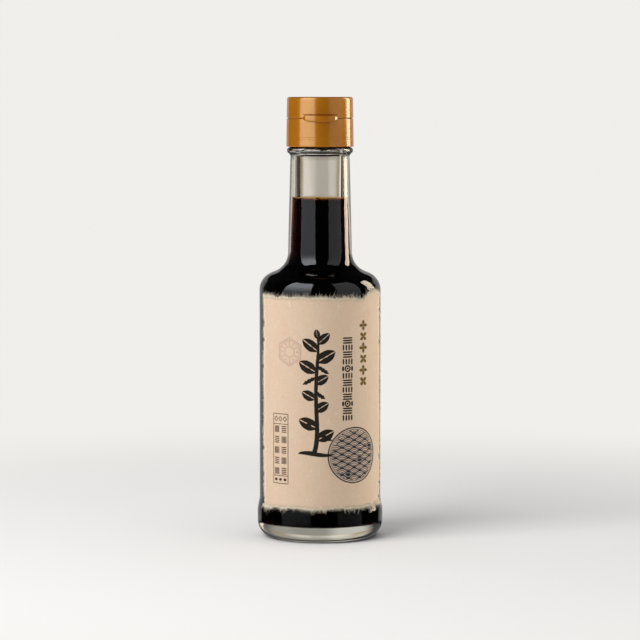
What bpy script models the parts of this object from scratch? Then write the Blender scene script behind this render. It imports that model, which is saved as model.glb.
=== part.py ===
"""Clear glass soy sauce bottle with a hinged gold cap, modelled as separate closed solids.

Run it with: blender --background --python part.py
Units are metres and +Z is up. The front of the bottle faces -Y. The origin is the middle of the
ring that the bottle stands on.
"""

import math

import bmesh
import bpy
from mathutils import Vector

MM = 0.001

# Clearance that neighbouring pieces keep from each other
GAP = 0.3 * MM

# Outside of the glass
BODY_RADIUS = 26.0 * MM
WALL = 2.4 * MM
NECK_WALL = 3.5 * MM
SHOULDER_FOOT_Z = 106.3 * MM
SHOULDER_ROUND = 8.05 * MM
NECK_FILLET = 8.7 * MM
SHOULDER_ANGLE = math.radians(67.4)
NECK_FOOT_RADIUS = 13.68 * MM
NECK_LEAN = math.radians(1.4)
NECK_TOP_Z = 164.6 * MM

# Bead under the cap, and the mouth that the cap is pressed on
BEAD_RADIUS = 14.2 * MM
BEAD_ROUND = 1.35 * MM
BEAD_Z = 166.2 * MM
MOUTH_RADIUS = 12.6 * MM
BORE_RADIUS = 9.3 * MM
LIP_Z = 178.0 * MM

# Heel, where the glass swells before it turns under
HEEL_RADIUS = 26.95 * MM
SWELL_TOP_Z = 17.7 * MM
SWELL_FOOT_Z = 10.8 * MM
HEEL_ROUND = 6.0 * MM
STAND_INNER_RADIUS = 18.6 * MM
PUSH_UP = 1.6 * MM

# Floor of the inside
FLOOR_EDGE_Z = 5.4 * MM
FLOOR_CROWN = 0.6 * MM
INNER_CORNER = 6.5 * MM

# Sauce
SAUCE_LEVEL_Z = 145.7 * MM
MENISCUS_RISE = 0.5 * MM
MENISCUS_REACH = 1.2 * MM

# Paper label, wrapped round the front
LABEL_TOP_Z = 104.0 * MM
LABEL_FOOT_Z = 15.3 * MM
LABEL_LEFT = math.radians(-66.5)
LABEL_RIGHT = math.radians(77.0)
LABEL_THICKNESS = 0.3 * MM

# Cap: both halves share one tapering wall, parted at the seam
CAP_FOOT_Z = 167.8 * MM
CAP_TOP_Z = 189.0 * MM
CAP_FOOT_RADIUS = 14.44 * MM
CAP_TOP_RADIUS = 14.11 * MM
CAP_EDGE = 1.1 * MM
CAP_CHAMFER = 0.25 * MM
CAP_SKIRT_INNER = 13.0 * MM
SEAM_Z = 179.9 * MM
DECK_THICKNESS = 1.35 * MM
PLUG_RADIUS = 8.9 * MM
PLUG_WALL = 0.9 * MM
PLUG_FOOT_Z = 173.5 * MM

# Pouring spout on the lower half
SPOUT_INNER = 7.8 * MM
SPOUT_OUTER = 9.0 * MM
SPOUT_FLARE = 0.45 * MM
SPOUT_TOP_Z = 186.6 * MM
SPOUT_FLARE_Z = 184.6 * MM
SPOUT_EDGE = 0.3 * MM

# Upper half: lid with a sealing ring inside and a thumb tab in front
LID_INNER = 12.9 * MM
LID_CEILING_Z = 187.6 * MM
LID_CORNER = 0.6 * MM
SEAL_OUTER = 6.9 * MM
SEAL_INNER = 6.1 * MM
SEAL_FOOT_Z = 186.2 * MM
TAB_HALF_WIDTH = 8.05 * MM
TAB_REACH = 15.6 * MM
TAB_END_REACH = 14.95 * MM
TAB_TOP_Z = 181.3 * MM
TAB_FOOT_Z = 178.4 * MM
TAB_END_FOOT_Z = 179.8 * MM
TAB_ROOT_RADIUS = 13.7 * MM
TAB_LEDGE_RISE = 0.15 * MM

# Hinge behind the cap: a lug on each half, which a thin web of plastic joins on the axis
HINGE_Y = 15.4 * MM
HINGE_HALF_WIDTH = 5.0 * MM
HINGE_ROOT_Y = 13.5 * MM
HINGE_LUG_HEIGHT = 2.4 * MM
HINGE_LUG_SLOPE = 1.3 * MM
HINGE_SLIT = 0.4 * MM

# Tear ring on the seal in the spout
RING_RADIUS = 5.4 * MM
RING_WIRE = 0.6 * MM
RING_Z = 180.9 * MM
RING_POST_RADIUS = 0.9 * MM

# Flats of each turned piece
GLASS_SIDES = 48
CAP_SIDES = 48
LABEL_STEPS = 24
TAB_STEPS = 12
RING_SIDES = 24
RING_WIRE_SIDES = 8
POST_SIDES = 12
SHARP_ANGLE = math.radians(38)

GLASS_COLOUR = (0.86, 0.88, 0.86, 1.0)
SAUCE_COLOUR = (0.012, 0.005, 0.003, 1.0)
PAPER_COLOUR = (0.66, 0.53, 0.39, 1.0)
GOLD_COLOUR = (0.52, 0.25, 0.05, 1.0)
RING_COLOUR = (0.80, 0.78, 0.72, 1.0)


def clear_scene():
    """Removes whatever the scene holds."""
    for thing in list(bpy.data.objects):
        bpy.data.objects.remove(thing, do_unlink=True)


def make_material(name, colour, roughness, metallic=0.0, transmission=0.0, ior=1.45):
    """Makes a Principled material."""
    material = bpy.data.materials.new(name)
    material.use_nodes = True
    shader = material.node_tree.nodes["Principled BSDF"]
    shader.inputs["Base Color"].default_value = colour
    shader.inputs["Roughness"].default_value = roughness
    shader.inputs["Metallic"].default_value = metallic
    shader.inputs["Transmission Weight"].default_value = transmission
    shader.inputs["IOR"].default_value = ior
    material.diffuse_color = colour
    return material


def arc(centre, radius, start, end, steps, end_radius=None):
    """Points (r, z) on an arc from one angle to another in degrees, whose radius may change on the way."""
    points = []
    for i in range(steps + 1):
        share = i / steps
        turn = math.radians(start + (end - start) * share)
        reach = radius if end_radius is None else radius + (end_radius - radius) * share
        points.append((centre[0] + reach * math.cos(turn), centre[1] + reach * math.sin(turn)))
    return points


def ease(start, end, steps):
    """Points (r, z) on an S-curve that leaves and arrives along Z."""
    points = []
    for i in range(steps + 1):
        t = i / steps
        r = start[0] + (end[0] - start[0]) * (1.0 - math.cos(math.pi * t)) / 2.0
        points.append((r, start[1] + (end[1] - start[1]) * t))
    return points


def neck_foot_z():
    """Height at which the neck's line ends and the shoulder begins.

    Going down, the neck line runs into a concave arc, a short straight and a convex arc that ends
    on the body. The straight is as long as the two radii leave room for.
    """
    across = NECK_FILLET * (math.cos(NECK_LEAN) - math.cos(SHOULDER_ANGLE))
    across += SHOULDER_ROUND * (1.0 - math.cos(SHOULDER_ANGLE))
    straight = (BODY_RADIUS - NECK_FOOT_RADIUS - across) / math.sin(SHOULDER_ANGLE)
    drop = (NECK_FILLET + SHOULDER_ROUND) * math.sin(SHOULDER_ANGLE) - NECK_FILLET * math.sin(NECK_LEAN)
    return SHOULDER_FOOT_Z + drop + straight * math.cos(SHOULDER_ANGLE)


def neck_radius(z):
    """Radius of the neck's outside at a height."""
    return NECK_FOOT_RADIUS - math.tan(NECK_LEAN) * (z - neck_foot_z())


def shoulder(neck_inset, inset, fillet_steps, round_steps):
    """The shoulder from the neck down to the body.

    It is moved into the glass by neck_inset at the neck, and by inset from the end of the fillet on.
    """
    fillet_centre = (NECK_FOOT_RADIUS + NECK_FILLET * math.cos(NECK_LEAN),
                     neck_foot_z() + NECK_FILLET * math.sin(NECK_LEAN))
    round_centre = (BODY_RADIUS - SHOULDER_ROUND, SHOULDER_FOOT_Z)
    lean = math.degrees(NECK_LEAN)
    angle = math.degrees(SHOULDER_ANGLE)
    points = arc(fillet_centre, NECK_FILLET + neck_inset, 180.0 + lean, 180.0 + angle, fillet_steps,
                 NECK_FILLET + inset)
    return points + arc(round_centre, SHOULDER_ROUND - inset, angle, 0.0, round_steps)


def glass_outside():
    """The outside of the glass, from the lip down to the middle of the underside."""
    lip_round = (MOUTH_RADIUS - BORE_RADIUS) / 2.0
    points = arc((MOUTH_RADIUS - lip_round, LIP_Z - lip_round), lip_round, 90.0, 0.0, 3)
    points.append((MOUTH_RADIUS, BEAD_Z + BEAD_ROUND))
    points += arc((BEAD_RADIUS - BEAD_ROUND, BEAD_Z), BEAD_ROUND, 90.0, -78.0, 7)
    points.append((neck_radius(NECK_TOP_Z), NECK_TOP_Z))
    points += shoulder(0.0, 0.0, 8, 8)
    points += ease((BODY_RADIUS, SWELL_TOP_Z), (HEEL_RADIUS, SWELL_FOOT_Z), 5)
    points += arc((HEEL_RADIUS - HEEL_ROUND, HEEL_ROUND), HEEL_ROUND, 0.0, -90.0, 7)
    points.append((STAND_INNER_RADIUS, 0.0))
    points.append((STAND_INNER_RADIUS - PUSH_UP, PUSH_UP / 2.0))
    points.append((0.0, PUSH_UP))
    return points


def inner_wall(inset, fillet_steps, round_steps, top):
    """The inside from the middle of the floor up the wall, and on through the points in top."""
    floor_z = FLOOR_EDGE_Z + inset
    inner_radius = BODY_RADIUS - WALL
    corner_centre = (inner_radius - INNER_CORNER, FLOOR_EDGE_Z + INNER_CORNER)
    points = [(0.0, floor_z + FLOOR_CROWN), (corner_centre[0] / 2.0, floor_z + FLOOR_CROWN * 0.75)]
    points += arc(corner_centre, INNER_CORNER - inset, -90.0, 0.0, 6)
    points += reversed(shoulder(NECK_WALL + inset, WALL + inset, fillet_steps, round_steps))
    return points + top


def glass_inside():
    """The inside of the glass, from the middle of the floor up to the lip."""
    lip_round = (MOUTH_RADIUS - BORE_RADIUS) / 2.0
    throat = ease((neck_radius(NECK_TOP_Z) - NECK_WALL, NECK_TOP_Z), (BORE_RADIUS, BEAD_Z + 2.0 * BEAD_ROUND), 3)
    lip = arc((BORE_RADIUS + lip_round, LIP_Z - lip_round), lip_round, 180.0, 90.0, 3)
    return inner_wall(0.0, 7, 6, throat + lip[:-1])


def outer_radius(z):
    """Radius of the glass outside at a height between the heel and the shoulder."""
    points = [p for p in glass_outside() if p[0] >= BODY_RADIUS - 1e-9]
    for upper, lower in zip(points, points[1:]):
        if lower[1] <= z <= upper[1]:
            share = (z - lower[1]) / (upper[1] - lower[1])
            return lower[0] + (upper[0] - lower[0]) * share
    return BODY_RADIUS


def cap_radius(z):
    """Radius of the cap's tapering wall at a height."""
    share = (z - CAP_FOOT_Z) / (CAP_TOP_Z - CAP_FOOT_Z)
    return CAP_FOOT_RADIUS + (CAP_TOP_RADIUS - CAP_FOOT_RADIUS) * share


def finish_mesh(name, mesh_data, material):
    """Turns a bmesh into a named object with outward faces and smooth round sides."""
    bmesh.ops.recalc_face_normals(mesh_data, faces=mesh_data.faces)
    mesh = bpy.data.meshes.new(name)
    mesh_data.to_mesh(mesh)
    mesh_data.free()
    mesh.shade_smooth()
    mesh.set_sharp_from_angle(angle=SHARP_ANGLE)
    mesh.materials.append(material)
    made = bpy.data.objects.new(name, mesh)
    bpy.context.scene.collection.objects.link(made)
    return made


def turned(name, profile, sides, material):
    """Spins an (r, z) profile once round Z. Profile ends on the axis close the solid."""
    shape = bmesh.new()
    verts = [shape.verts.new((r, 0.0, z)) for r, z in profile]
    edges = [shape.edges.new(pair) for pair in zip(verts, verts[1:])]
    bmesh.ops.spin(shape, geom=verts + edges, cent=(0.0, 0.0, 0.0), axis=(0.0, 0.0, 1.0),
                   dvec=(0.0, 0.0, 0.0), angle=2.0 * math.pi, steps=sides, use_merge=True)
    bmesh.ops.remove_doubles(shape, verts=shape.verts, dist=1e-6)
    return finish_mesh(name, shape, material)


def skinned(name, sections, material):
    """Joins a row of equal closed cross-sections into one solid with flat ends."""
    shape = bmesh.new()
    rings = [[shape.verts.new(point) for point in section] for section in sections]
    for ring, following in zip(rings, rings[1:]):
        for i in range(len(ring)):
            j = (i + 1) % len(ring)
            shape.faces.new((ring[i], ring[j], following[j], following[i]))
    shape.faces.new(list(reversed(rings[0])))
    shape.faces.new(rings[-1])
    return finish_mesh(name, shape, material)


def add_to(body, piece):
    """Fuses a hidden piece into a body with an exact Boolean."""
    fuse = body.modifiers.new("fuse " + piece.name, "BOOLEAN")
    fuse.operation = "UNION"
    fuse.solver = "EXACT"
    fuse.object = piece
    piece.hide_render = True
    piece.display_type = "WIRE"
    piece.parent = body.parent
    piece.matrix_parent_inverse = body.matrix_parent_inverse.copy()


def make_glass(material):
    """The bottle: one closed wall, open at the mouth."""
    return turned("glass_bottle", glass_inside() + glass_outside(), GLASS_SIDES, material)


def make_sauce(material):
    """The sauce, from the floor up to its level in the neck, a gap inside the glass."""
    edge = neck_radius(SAUCE_LEVEL_Z) - NECK_WALL - GAP
    top = [(edge, SAUCE_LEVEL_Z + MENISCUS_RISE), (edge - MENISCUS_REACH, SAUCE_LEVEL_Z), (0.0, SAUCE_LEVEL_Z)]
    return turned("soy_sauce", inner_wall(GAP, 5, 4, top), GLASS_SIDES, material)


def make_label(material):
    """The paper label, a thin sheet that follows the glass, heel swell included."""
    heights = (LABEL_FOOT_Z, (LABEL_FOOT_Z + SWELL_TOP_Z) / 2.0, SWELL_TOP_Z, LABEL_TOP_Z)
    inner = [(outer_radius(z) + GAP, z) for z in heights]
    outer = [(r + LABEL_THICKNESS, z) for r, z in reversed(inner)]
    sections = []
    for i in range(LABEL_STEPS + 1):
        angle = LABEL_LEFT + (LABEL_RIGHT - LABEL_LEFT) * i / LABEL_STEPS
        sections.append([(r * math.sin(angle), -r * math.cos(angle), z) for r, z in inner + outer])
    return skinned("paper_label", sections, material)


def cap_base_profile():
    """Lower half of the cap: seal, spout, deck, skirt and the plug that sits in the mouth."""
    deck_z = SEAM_Z - GAP / 2.0
    under_z = deck_z - DECK_THICKNESS
    lip_inner = SPOUT_INNER + SPOUT_FLARE
    lip_outer = SPOUT_OUTER + SPOUT_FLARE
    spout = [(0.0, deck_z), (SPOUT_INNER, deck_z), (SPOUT_INNER, SPOUT_FLARE_Z),
             (lip_inner, SPOUT_TOP_Z - SPOUT_EDGE), (lip_inner + SPOUT_EDGE, SPOUT_TOP_Z),
             (lip_outer - SPOUT_EDGE, SPOUT_TOP_Z), (lip_outer, SPOUT_TOP_Z - SPOUT_EDGE),
             (SPOUT_OUTER, SPOUT_FLARE_Z), (SPOUT_OUTER, deck_z)]
    skirt = [(cap_radius(deck_z) - CAP_CHAMFER, deck_z), (cap_radius(deck_z), deck_z - CAP_CHAMFER),
             (CAP_FOOT_RADIUS, CAP_FOOT_Z + CAP_CHAMFER), (CAP_FOOT_RADIUS - CAP_CHAMFER, CAP_FOOT_Z),
             (CAP_SKIRT_INNER, CAP_FOOT_Z), (CAP_SKIRT_INNER, under_z)]
    plug = [(PLUG_RADIUS, under_z), (PLUG_RADIUS, PLUG_FOOT_Z + PLUG_WALL / 2.0),
            (PLUG_RADIUS - PLUG_WALL / 2.0, PLUG_FOOT_Z), (PLUG_RADIUS - PLUG_WALL, PLUG_FOOT_Z),
            (PLUG_RADIUS - PLUG_WALL, under_z), (0.0, under_z)]
    return spout + skirt + plug


def lid_profile():
    """Upper half of the cap: domed edge, tapering wall, and the sealing ring inside."""
    rim_z = SEAM_Z + GAP / 2.0
    corner = (cap_radius(CAP_TOP_Z) - CAP_EDGE, CAP_TOP_Z - CAP_EDGE)
    outside = [(0.0, CAP_TOP_Z)] + arc(corner, CAP_EDGE, 90.0, 0.0, 4)
    outside += [(cap_radius(rim_z), rim_z + CAP_CHAMFER), (cap_radius(rim_z) - CAP_CHAMFER, rim_z)]
    inside = [(LID_INNER, rim_z), (LID_INNER, LID_CEILING_Z - LID_CORNER), (LID_INNER - LID_CORNER, LID_CEILING_Z),
              (SEAL_OUTER, LID_CEILING_Z), (SEAL_OUTER, SEAL_FOOT_Z + SPOUT_EDGE),
              (SEAL_OUTER - SPOUT_EDGE, SEAL_FOOT_Z), (SEAL_INNER, SEAL_FOOT_Z),
              (SEAL_INNER, LID_CEILING_Z), (0.0, LID_CEILING_Z)]
    return outside + inside


def make_tab(material):
    """The thumb tab: a ledge on the lid whose lip hangs over the seam, deepest in the middle."""
    lip_inner = cap_radius(TAB_FOOT_Z) + GAP
    ledge_z = SEAM_Z + GAP / 2.0 + TAB_LEDGE_RISE
    half_angle = math.asin(TAB_HALF_WIDTH / TAB_REACH)
    sections = []
    for i in range(TAB_STEPS + 1):
        share = 2.0 * i / TAB_STEPS - 1.0
        fullness = 1.0 - share**2
        reach = TAB_END_REACH + (TAB_REACH - TAB_END_REACH) * math.sqrt(fullness)
        foot = TAB_END_FOOT_Z + (TAB_FOOT_Z - TAB_END_FOOT_Z) * fullness
        outline = ((TAB_ROOT_RADIUS, TAB_TOP_Z), (reach, TAB_TOP_Z), (reach, foot), (lip_inner, foot),
                   (lip_inner, ledge_z), (TAB_ROOT_RADIUS, ledge_z))
        angle = share * half_angle
        sections.append([(r * math.sin(angle), -r * math.cos(angle), z) for r, z in outline])
    return skinned("thumb tab", sections, material)


def make_lug(name, side, material):
    """One hinge lug: it stands on the cap's wall behind and tapers away from the seam."""
    near = SEAM_Z + side * HINGE_SLIT / 2.0
    far = near + side * HINGE_LUG_HEIGHT
    outline = ((HINGE_ROOT_Y, near), (HINGE_Y, near), (HINGE_Y, far - side * HINGE_LUG_SLOPE), (HINGE_ROOT_Y, far))
    sections = [[(x, y, z) for y, z in outline] for x in (-HINGE_HALF_WIDTH, HINGE_HALF_WIDTH)]
    return skinned(name, sections, material)


def make_cap_base(material):
    """The pressed-on lower half of the cap with its hinge lug."""
    base = turned("cap_base", cap_base_profile(), CAP_SIDES, material)
    add_to(base, make_lug("lower lug", -1.0, material))
    return base


def make_lid(material):
    """The lid, carried by an empty on the hinge axis."""
    lid = turned("cap_lid", lid_profile(), CAP_SIDES, material)
    axis = bpy.data.objects.new("lid hinge axis", None)
    axis.location = (0.0, HINGE_Y, SEAM_Z)
    bpy.context.scene.collection.objects.link(axis)
    bpy.context.view_layer.update()
    lid.parent = axis
    lid.matrix_parent_inverse = axis.matrix_world.inverted()
    add_to(lid, make_tab(material))
    add_to(lid, make_lug("upper lug", 1.0, material))
    return lid


def make_tear_ring(material):
    """The tear ring that lies in the spout, with the post that joins it to the seal."""
    shape = bmesh.new()
    centre = Vector((RING_RADIUS, 0.0, RING_Z))
    verts = []
    for i in range(RING_WIRE_SIDES):
        turn = 2.0 * math.pi * i / RING_WIRE_SIDES
        verts.append(shape.verts.new(centre + RING_WIRE * Vector((math.cos(turn), 0.0, math.sin(turn)))))
    edges = [shape.edges.new((verts[i - 1], verts[i])) for i in range(RING_WIRE_SIDES)]
    bmesh.ops.spin(shape, geom=verts + edges, cent=(0.0, 0.0, 0.0), axis=(0.0, 0.0, 1.0),
                   dvec=(0.0, 0.0, 0.0), angle=2.0 * math.pi, steps=RING_SIDES, use_merge=True)
    bmesh.ops.remove_doubles(shape, verts=shape.verts, dist=1e-6)
    ring = finish_mesh("tear_ring", shape, material)
    post_foot = SEAM_Z + GAP / 2.0
    post = turned("ring post", [(0.0, RING_Z), (RING_POST_RADIUS, RING_Z), (RING_POST_RADIUS, post_foot),
                                (0.0, post_foot)], POST_SIDES, material)
    post.location = (0.0, RING_RADIUS, 0.0)
    add_to(ring, post)
    return ring


def main():
    """Builds every piece."""
    clear_scene()
    make_glass(make_material("clear glass", GLASS_COLOUR, 0.02, transmission=1.0, ior=1.52))
    make_sauce(make_material("soy sauce", SAUCE_COLOUR, 0.05, ior=1.38))
    make_label(make_material("fibrous paper", PAPER_COLOUR, 0.9))
    gold = make_material("gold plastic", GOLD_COLOUR, 0.32, metallic=0.85)
    make_cap_base(gold)
    make_lid(gold)
    make_tear_ring(make_material("natural plastic", RING_COLOUR, 0.45))


main()
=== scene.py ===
"""Looks of the soy sauce bottle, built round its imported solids.

Lengths are in millimetres until a mesh is made. An angle round the bottle runs from the front (-Y)
towards the right (+X), as the paper label is laid out. A section is an array of rows (r, z).
"""

import logging
import math
from dataclasses import dataclass
from enum import Enum

import bpy
import numpy as np
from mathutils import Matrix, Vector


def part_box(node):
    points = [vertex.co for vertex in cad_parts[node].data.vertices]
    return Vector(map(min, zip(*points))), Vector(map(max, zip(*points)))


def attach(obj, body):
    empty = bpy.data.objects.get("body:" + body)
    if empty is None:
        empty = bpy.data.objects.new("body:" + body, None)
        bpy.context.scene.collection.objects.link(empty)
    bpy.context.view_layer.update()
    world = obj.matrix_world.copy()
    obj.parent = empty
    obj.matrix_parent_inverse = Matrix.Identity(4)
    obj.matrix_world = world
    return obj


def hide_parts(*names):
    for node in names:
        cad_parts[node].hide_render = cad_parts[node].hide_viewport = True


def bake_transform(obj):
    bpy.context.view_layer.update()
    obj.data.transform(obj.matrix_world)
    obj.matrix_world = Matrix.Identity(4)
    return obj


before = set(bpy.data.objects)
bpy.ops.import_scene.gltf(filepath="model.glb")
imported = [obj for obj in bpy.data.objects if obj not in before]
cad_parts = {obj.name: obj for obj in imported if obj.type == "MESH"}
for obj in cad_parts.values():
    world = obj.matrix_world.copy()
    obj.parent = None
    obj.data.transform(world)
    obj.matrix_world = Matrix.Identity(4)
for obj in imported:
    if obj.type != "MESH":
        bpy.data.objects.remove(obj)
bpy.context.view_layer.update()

MM = 0.001
ON_AXIS = 1e-6
THINNEST = 0.01
INK_RISE = 0.030
INK_LAYER = 0.004
INK_SINK = 0.02
GLASS_IOR = 1.52
SAUCE_IOR = 1.38
FULL_TURN = 2.0 * math.pi
Array = np.ndarray
Random = np.random.Generator
Piece = bpy.types.Object
Socket = bpy.types.NodeSocket
Pair = tuple[float, float]
Triple = tuple[float, float, float]
WHITE: Triple = (1.0, 1.0, 1.0)
BLACK: Triple = (0.0, 0.0, 0.0)


class Body(Enum):
    """The CAD bodies that pieces ride on."""

    BOTTLE = "bottle"
    LID = "lid"


class Slot(Enum):
    """The record's material slots."""

    GLASS = "clear_glass"
    SAUCE = "soy_sauce"
    PAPER = "label_paper"
    GOLD = "gold_plastic"
    NATURAL = "natural_plastic"


def node_box(node: str) -> tuple[list[float], list[float]]:
    """Lowest and highest corner of a CAD node in millimetres."""
    low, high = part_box(node)
    return [float(c) / MM for c in low], [float(c) / MM for c in high]


def heights(node: str) -> list[float]:
    """Foot and top of a CAD node in millimetres."""
    return [corner[2] for corner in node_box(node)]


GLASS_RADIUS, _, GLASS_TOP = node_box("glass_bottle")[1]
SAUCE_FOOT, SAUCE_TOP = heights("soy_sauce")
LABEL_FOOT, LABEL_TOP = heights("paper_label")
CAP_FOOT, SPOUT_TOP = heights("cap_base")
CAP_TOP = heights("cap_lid")[1]
RING_TOP = heights("tear_ring")[1]


@dataclass
class Surface:
    """A surface as points in millimetres and arrays of three or four corners a face."""

    points: Array
    faces: list[Array]

    def volume(self) -> float:
        """Signed volume: the sum over triangles of a . (b x c) / 6."""
        total = 0.0
        for corners in self.faces:
            for k in range(1, corners.shape[1] - 1):
                a, b, c = (self.points[corners[:, i]] for i in (0, k, k + 1))
                total += float(np.einsum("ij,ij->i", a, np.cross(b, c)).sum()) / 6.0
        return total

    def outward(self) -> "Surface":
        """The same closed surface with its faces turned to point outwards."""
        step = 1 if self.volume() >= 0.0 else -1
        return Surface(self.points, [corners[:, ::step] for corners in self.faces])


def joined(surfaces: list[Surface]) -> Surface:
    """Puts several surfaces into one, each with its own points."""
    starts = np.cumsum([0, *(len(s.points) for s in surfaces)])
    faces = [corners + start for s, start in zip(surfaces, starts) for corners in s.faces]
    return Surface(np.concatenate([s.points for s in surfaces]), faces)


def arc(centre: Pair, radius: float, start: float, end: float, steps: int,
        end_radius: float | None = None) -> Array:
    """Arc: point i is centre + R (cos a, sin a), where a and R run evenly to their last values.

    Args:
        centre: middle of the arc.
        radius: radius at the start.
        start: first angle in degrees, from the direction of r.
        end: last angle in degrees.
        steps: number of stretches.
        end_radius: radius at the end, where it differs.

    Returns:
        The section.
    """
    share = np.linspace(0.0, 1.0, steps + 1)
    angle = np.radians(start + (end - start) * share)
    reach = radius + ((radius if end_radius is None else end_radius) - radius) * share
    return np.column_stack([centre[0] + reach * np.cos(angle), centre[1] + reach * np.sin(angle)])


def ease(start: Pair, end: Pair, steps: int) -> Array:
    """S-curve along z: the radius follows (1 - cos(pi t)) / 2 and the height t, for t from 0 to 1."""
    t = np.linspace(0.0, 1.0, steps + 1)
    r = start[0] + (end[0] - start[0]) * (1.0 - np.cos(np.pi * t)) / 2.0
    return np.column_stack([r, start[1] + (end[1] - start[1]) * t])


def softened(corners: list[Triple], steps: int = 5) -> Array:
    """Polyline whose corners are eased: (1-t)^2 A + 2 t (1-t) P + t^2 B, with A and B a cut from P.

    Args:
        corners: rows (r, z, cut); a cut of 0 keeps the corner sharp.
        steps: stretches in each eased corner.

    Returns:
        The section.
    """
    path = np.array(corners)
    rows = [path[0, :2]]
    t = np.linspace(0.0, 1.0, steps + 1)[:, None]
    for before, here, after in zip(path, path[1:], path[2:]):
        corner, cut = here[:2], here[2]
        if cut <= 0.0:
            rows.append(corner)
            continue
        back, ahead = before[:2] - corner, after[:2] - corner
        a, b = (corner + way / np.linalg.norm(way) * min(cut, np.linalg.norm(way) * 0.5)
                for way in (back, ahead))
        rows += list((1.0 - t) ** 2 * a + 2.0 * t * (1.0 - t) * corner + t**2 * b)
    rows.append(path[-1, :2])
    return np.array(rows)


def divided(profile: Array, longest: float) -> Array:
    """Section with points added evenly so that no stretch is longer than a length."""
    rows = [profile[:1]]
    for here, after in zip(profile, profile[1:]):
        parts = max(1, math.ceil(float(np.linalg.norm(after - here)) / longest))
        rows.append(here + (after - here) * ((np.arange(parts) + 1.0)[:, None] / parts))
    return np.concatenate(rows)


def even_angles(count: int) -> Array:
    """Angles spaced evenly once round, in radians."""
    return np.arange(count) * FULL_TURN / count


def round_about(r: Array, angle: Array, z: Array) -> Array:
    """Points (r sin a, -r cos a, z), where the angle runs from the front to the right."""
    return np.stack(np.broadcast_arrays(r * np.sin(angle), -r * np.cos(angle), z), axis=-1)


def hoops(rows: int, count: int) -> tuple[Array, Array, Array]:
    """Rings of points: each point's number, its neighbour's number, and the quads between the rings."""
    number = np.arange(rows * count).reshape(rows, count)
    beside = np.roll(number, -1, axis=1)
    quads = np.stack([number[:-1], beside[:-1], beside[1:], number[1:]], axis=-1).reshape(-1, 4)
    return number, beside, quads


def turned(profile: Array, angles: Array, wobble: Array | None = None, lift: Array | None = None,
           loop: bool = False) -> Surface:
    """Surface of revolution about Z: point (i, j) is (R sin a_j, -R cos a_j, z_i + lift_ij).

    R is r_i + wobble_ij. A station on the axis shrinks to one point that a fan of triangles closes.

    Args:
        profile: the section.
        angles: the angles of the meridians, once round without the last.
        wobble: what each point's radius changes by, or None.
        lift: what each point's height changes by, or None.
        loop: whether the section closes on itself.

    Returns:
        The closed surface with outward faces.
    """
    count = len(angles)
    off_axis = profile[:, 0] > ON_AXIS
    first, last = int(np.argmax(off_axis)), len(profile) - int(np.argmax(off_axis[::-1]))
    rings = slice(first, last)
    r = profile[rings, 0][:, None] + (0.0 if wobble is None else wobble[rings])
    z = profile[rings, 1][:, None] + (0.0 if lift is None else lift[rings])
    points = round_about(r, angles[None, :], z).reshape(-1, 3)
    number, beside, quads = hoops(last - first, count)
    faces = [quads]
    if loop:
        faces.append(np.stack([number[-1], beside[-1], beside[0], number[0]], axis=-1))
    for is_end, station, order in ((first > 0, 0, 1), (last < len(profile), -1, -1)):
        if is_end:
            pole = np.full(count, len(points))
            points = np.vstack([points, [0.0, 0.0, profile[station, 1]]])
            faces.append(np.stack([pole, beside[station], number[station]][::order], axis=-1))
    return Surface(points, faces).outward()


def lofted(sections: Array) -> Surface:
    """Skin over a row of closed cross-sections (sections, points, 3), with fans round their means as ends."""
    rows, count = sections.shape[:2]
    points = sections.reshape(-1, 3)
    number, beside, quads = hoops(rows, count)
    faces = [quads]
    for row, order in ((0, -1), (-1, 1)):
        middle = np.full(count, len(points))
        points = np.vstack([points, sections[row].mean(axis=0)])
        faces.append(np.stack([middle, number[row], beside[row]][::order], axis=-1))
    return Surface(points, faces).outward()


def sheet(front: Array, back: Array) -> Surface:
    """Closed thin sheet between two grids (rows, columns, 3), with a rim of quads round its border."""
    rows, columns = front.shape[:2]
    offset = rows * columns
    number = np.arange(offset).reshape(rows, columns)
    a, b, c, d = number[:-1, :-1], number[1:, :-1], number[1:, 1:], number[:-1, 1:]
    quads = np.stack([a, b, c, d], axis=-1).reshape(-1, 4)
    under = np.stack([a, d, c, b], axis=-1).reshape(-1, 4) + offset
    border = np.concatenate([number[0, :-1], number[:-1, -1], number[-1, :0:-1], number[:0:-1, 0]])
    following = np.roll(border, -1)
    rim = np.stack([border, following, following + offset, border + offset], axis=-1)
    return Surface(np.concatenate([front.reshape(-1, 3), back.reshape(-1, 3)]), [quads, under, rim]).outward()


def smooth_noise(size: int, cells: float, rng: Random) -> Array:
    """Smooth random row between about -1 and 1: random values at cells, joined by cosine steps."""
    count = max(2, math.ceil(cells) + 2)
    values = rng.uniform(-1.0, 1.0, count)
    place = np.linspace(0.0, cells, size)
    cell = np.floor(place).astype(int)
    t = (1.0 - np.cos(np.pi * (place - cell))) / 2.0
    return values[cell] * (1.0 - t) + values[np.minimum(cell + 1, count - 1)] * t


def rough_noise(size: int, cells: float, rng: Random, octaves: int) -> Array:
    """Sum of smooth noise rows, each with 2.3 times the cells and 0.55 times the height of the last."""
    total = np.zeros(size)
    for octave in range(octaves):
        total += smooth_noise(size, cells * 2.3**octave, rng) * 0.55**octave
    return total


def smoothstep(low: float, high: float, value: Array) -> Array:
    """3 t^2 - 2 t^3 of where value lies between low and high."""
    t = np.clip((value - low) / (high - low), 0.0, 1.0)
    return t * t * (3.0 - 2.0 * t)


def link(name: str, data: bpy.types.ID) -> Piece:
    """Puts new data into the scene as an object."""
    made = bpy.data.objects.new(name, data)
    bpy.context.scene.collection.objects.link(made)
    return made


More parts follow.
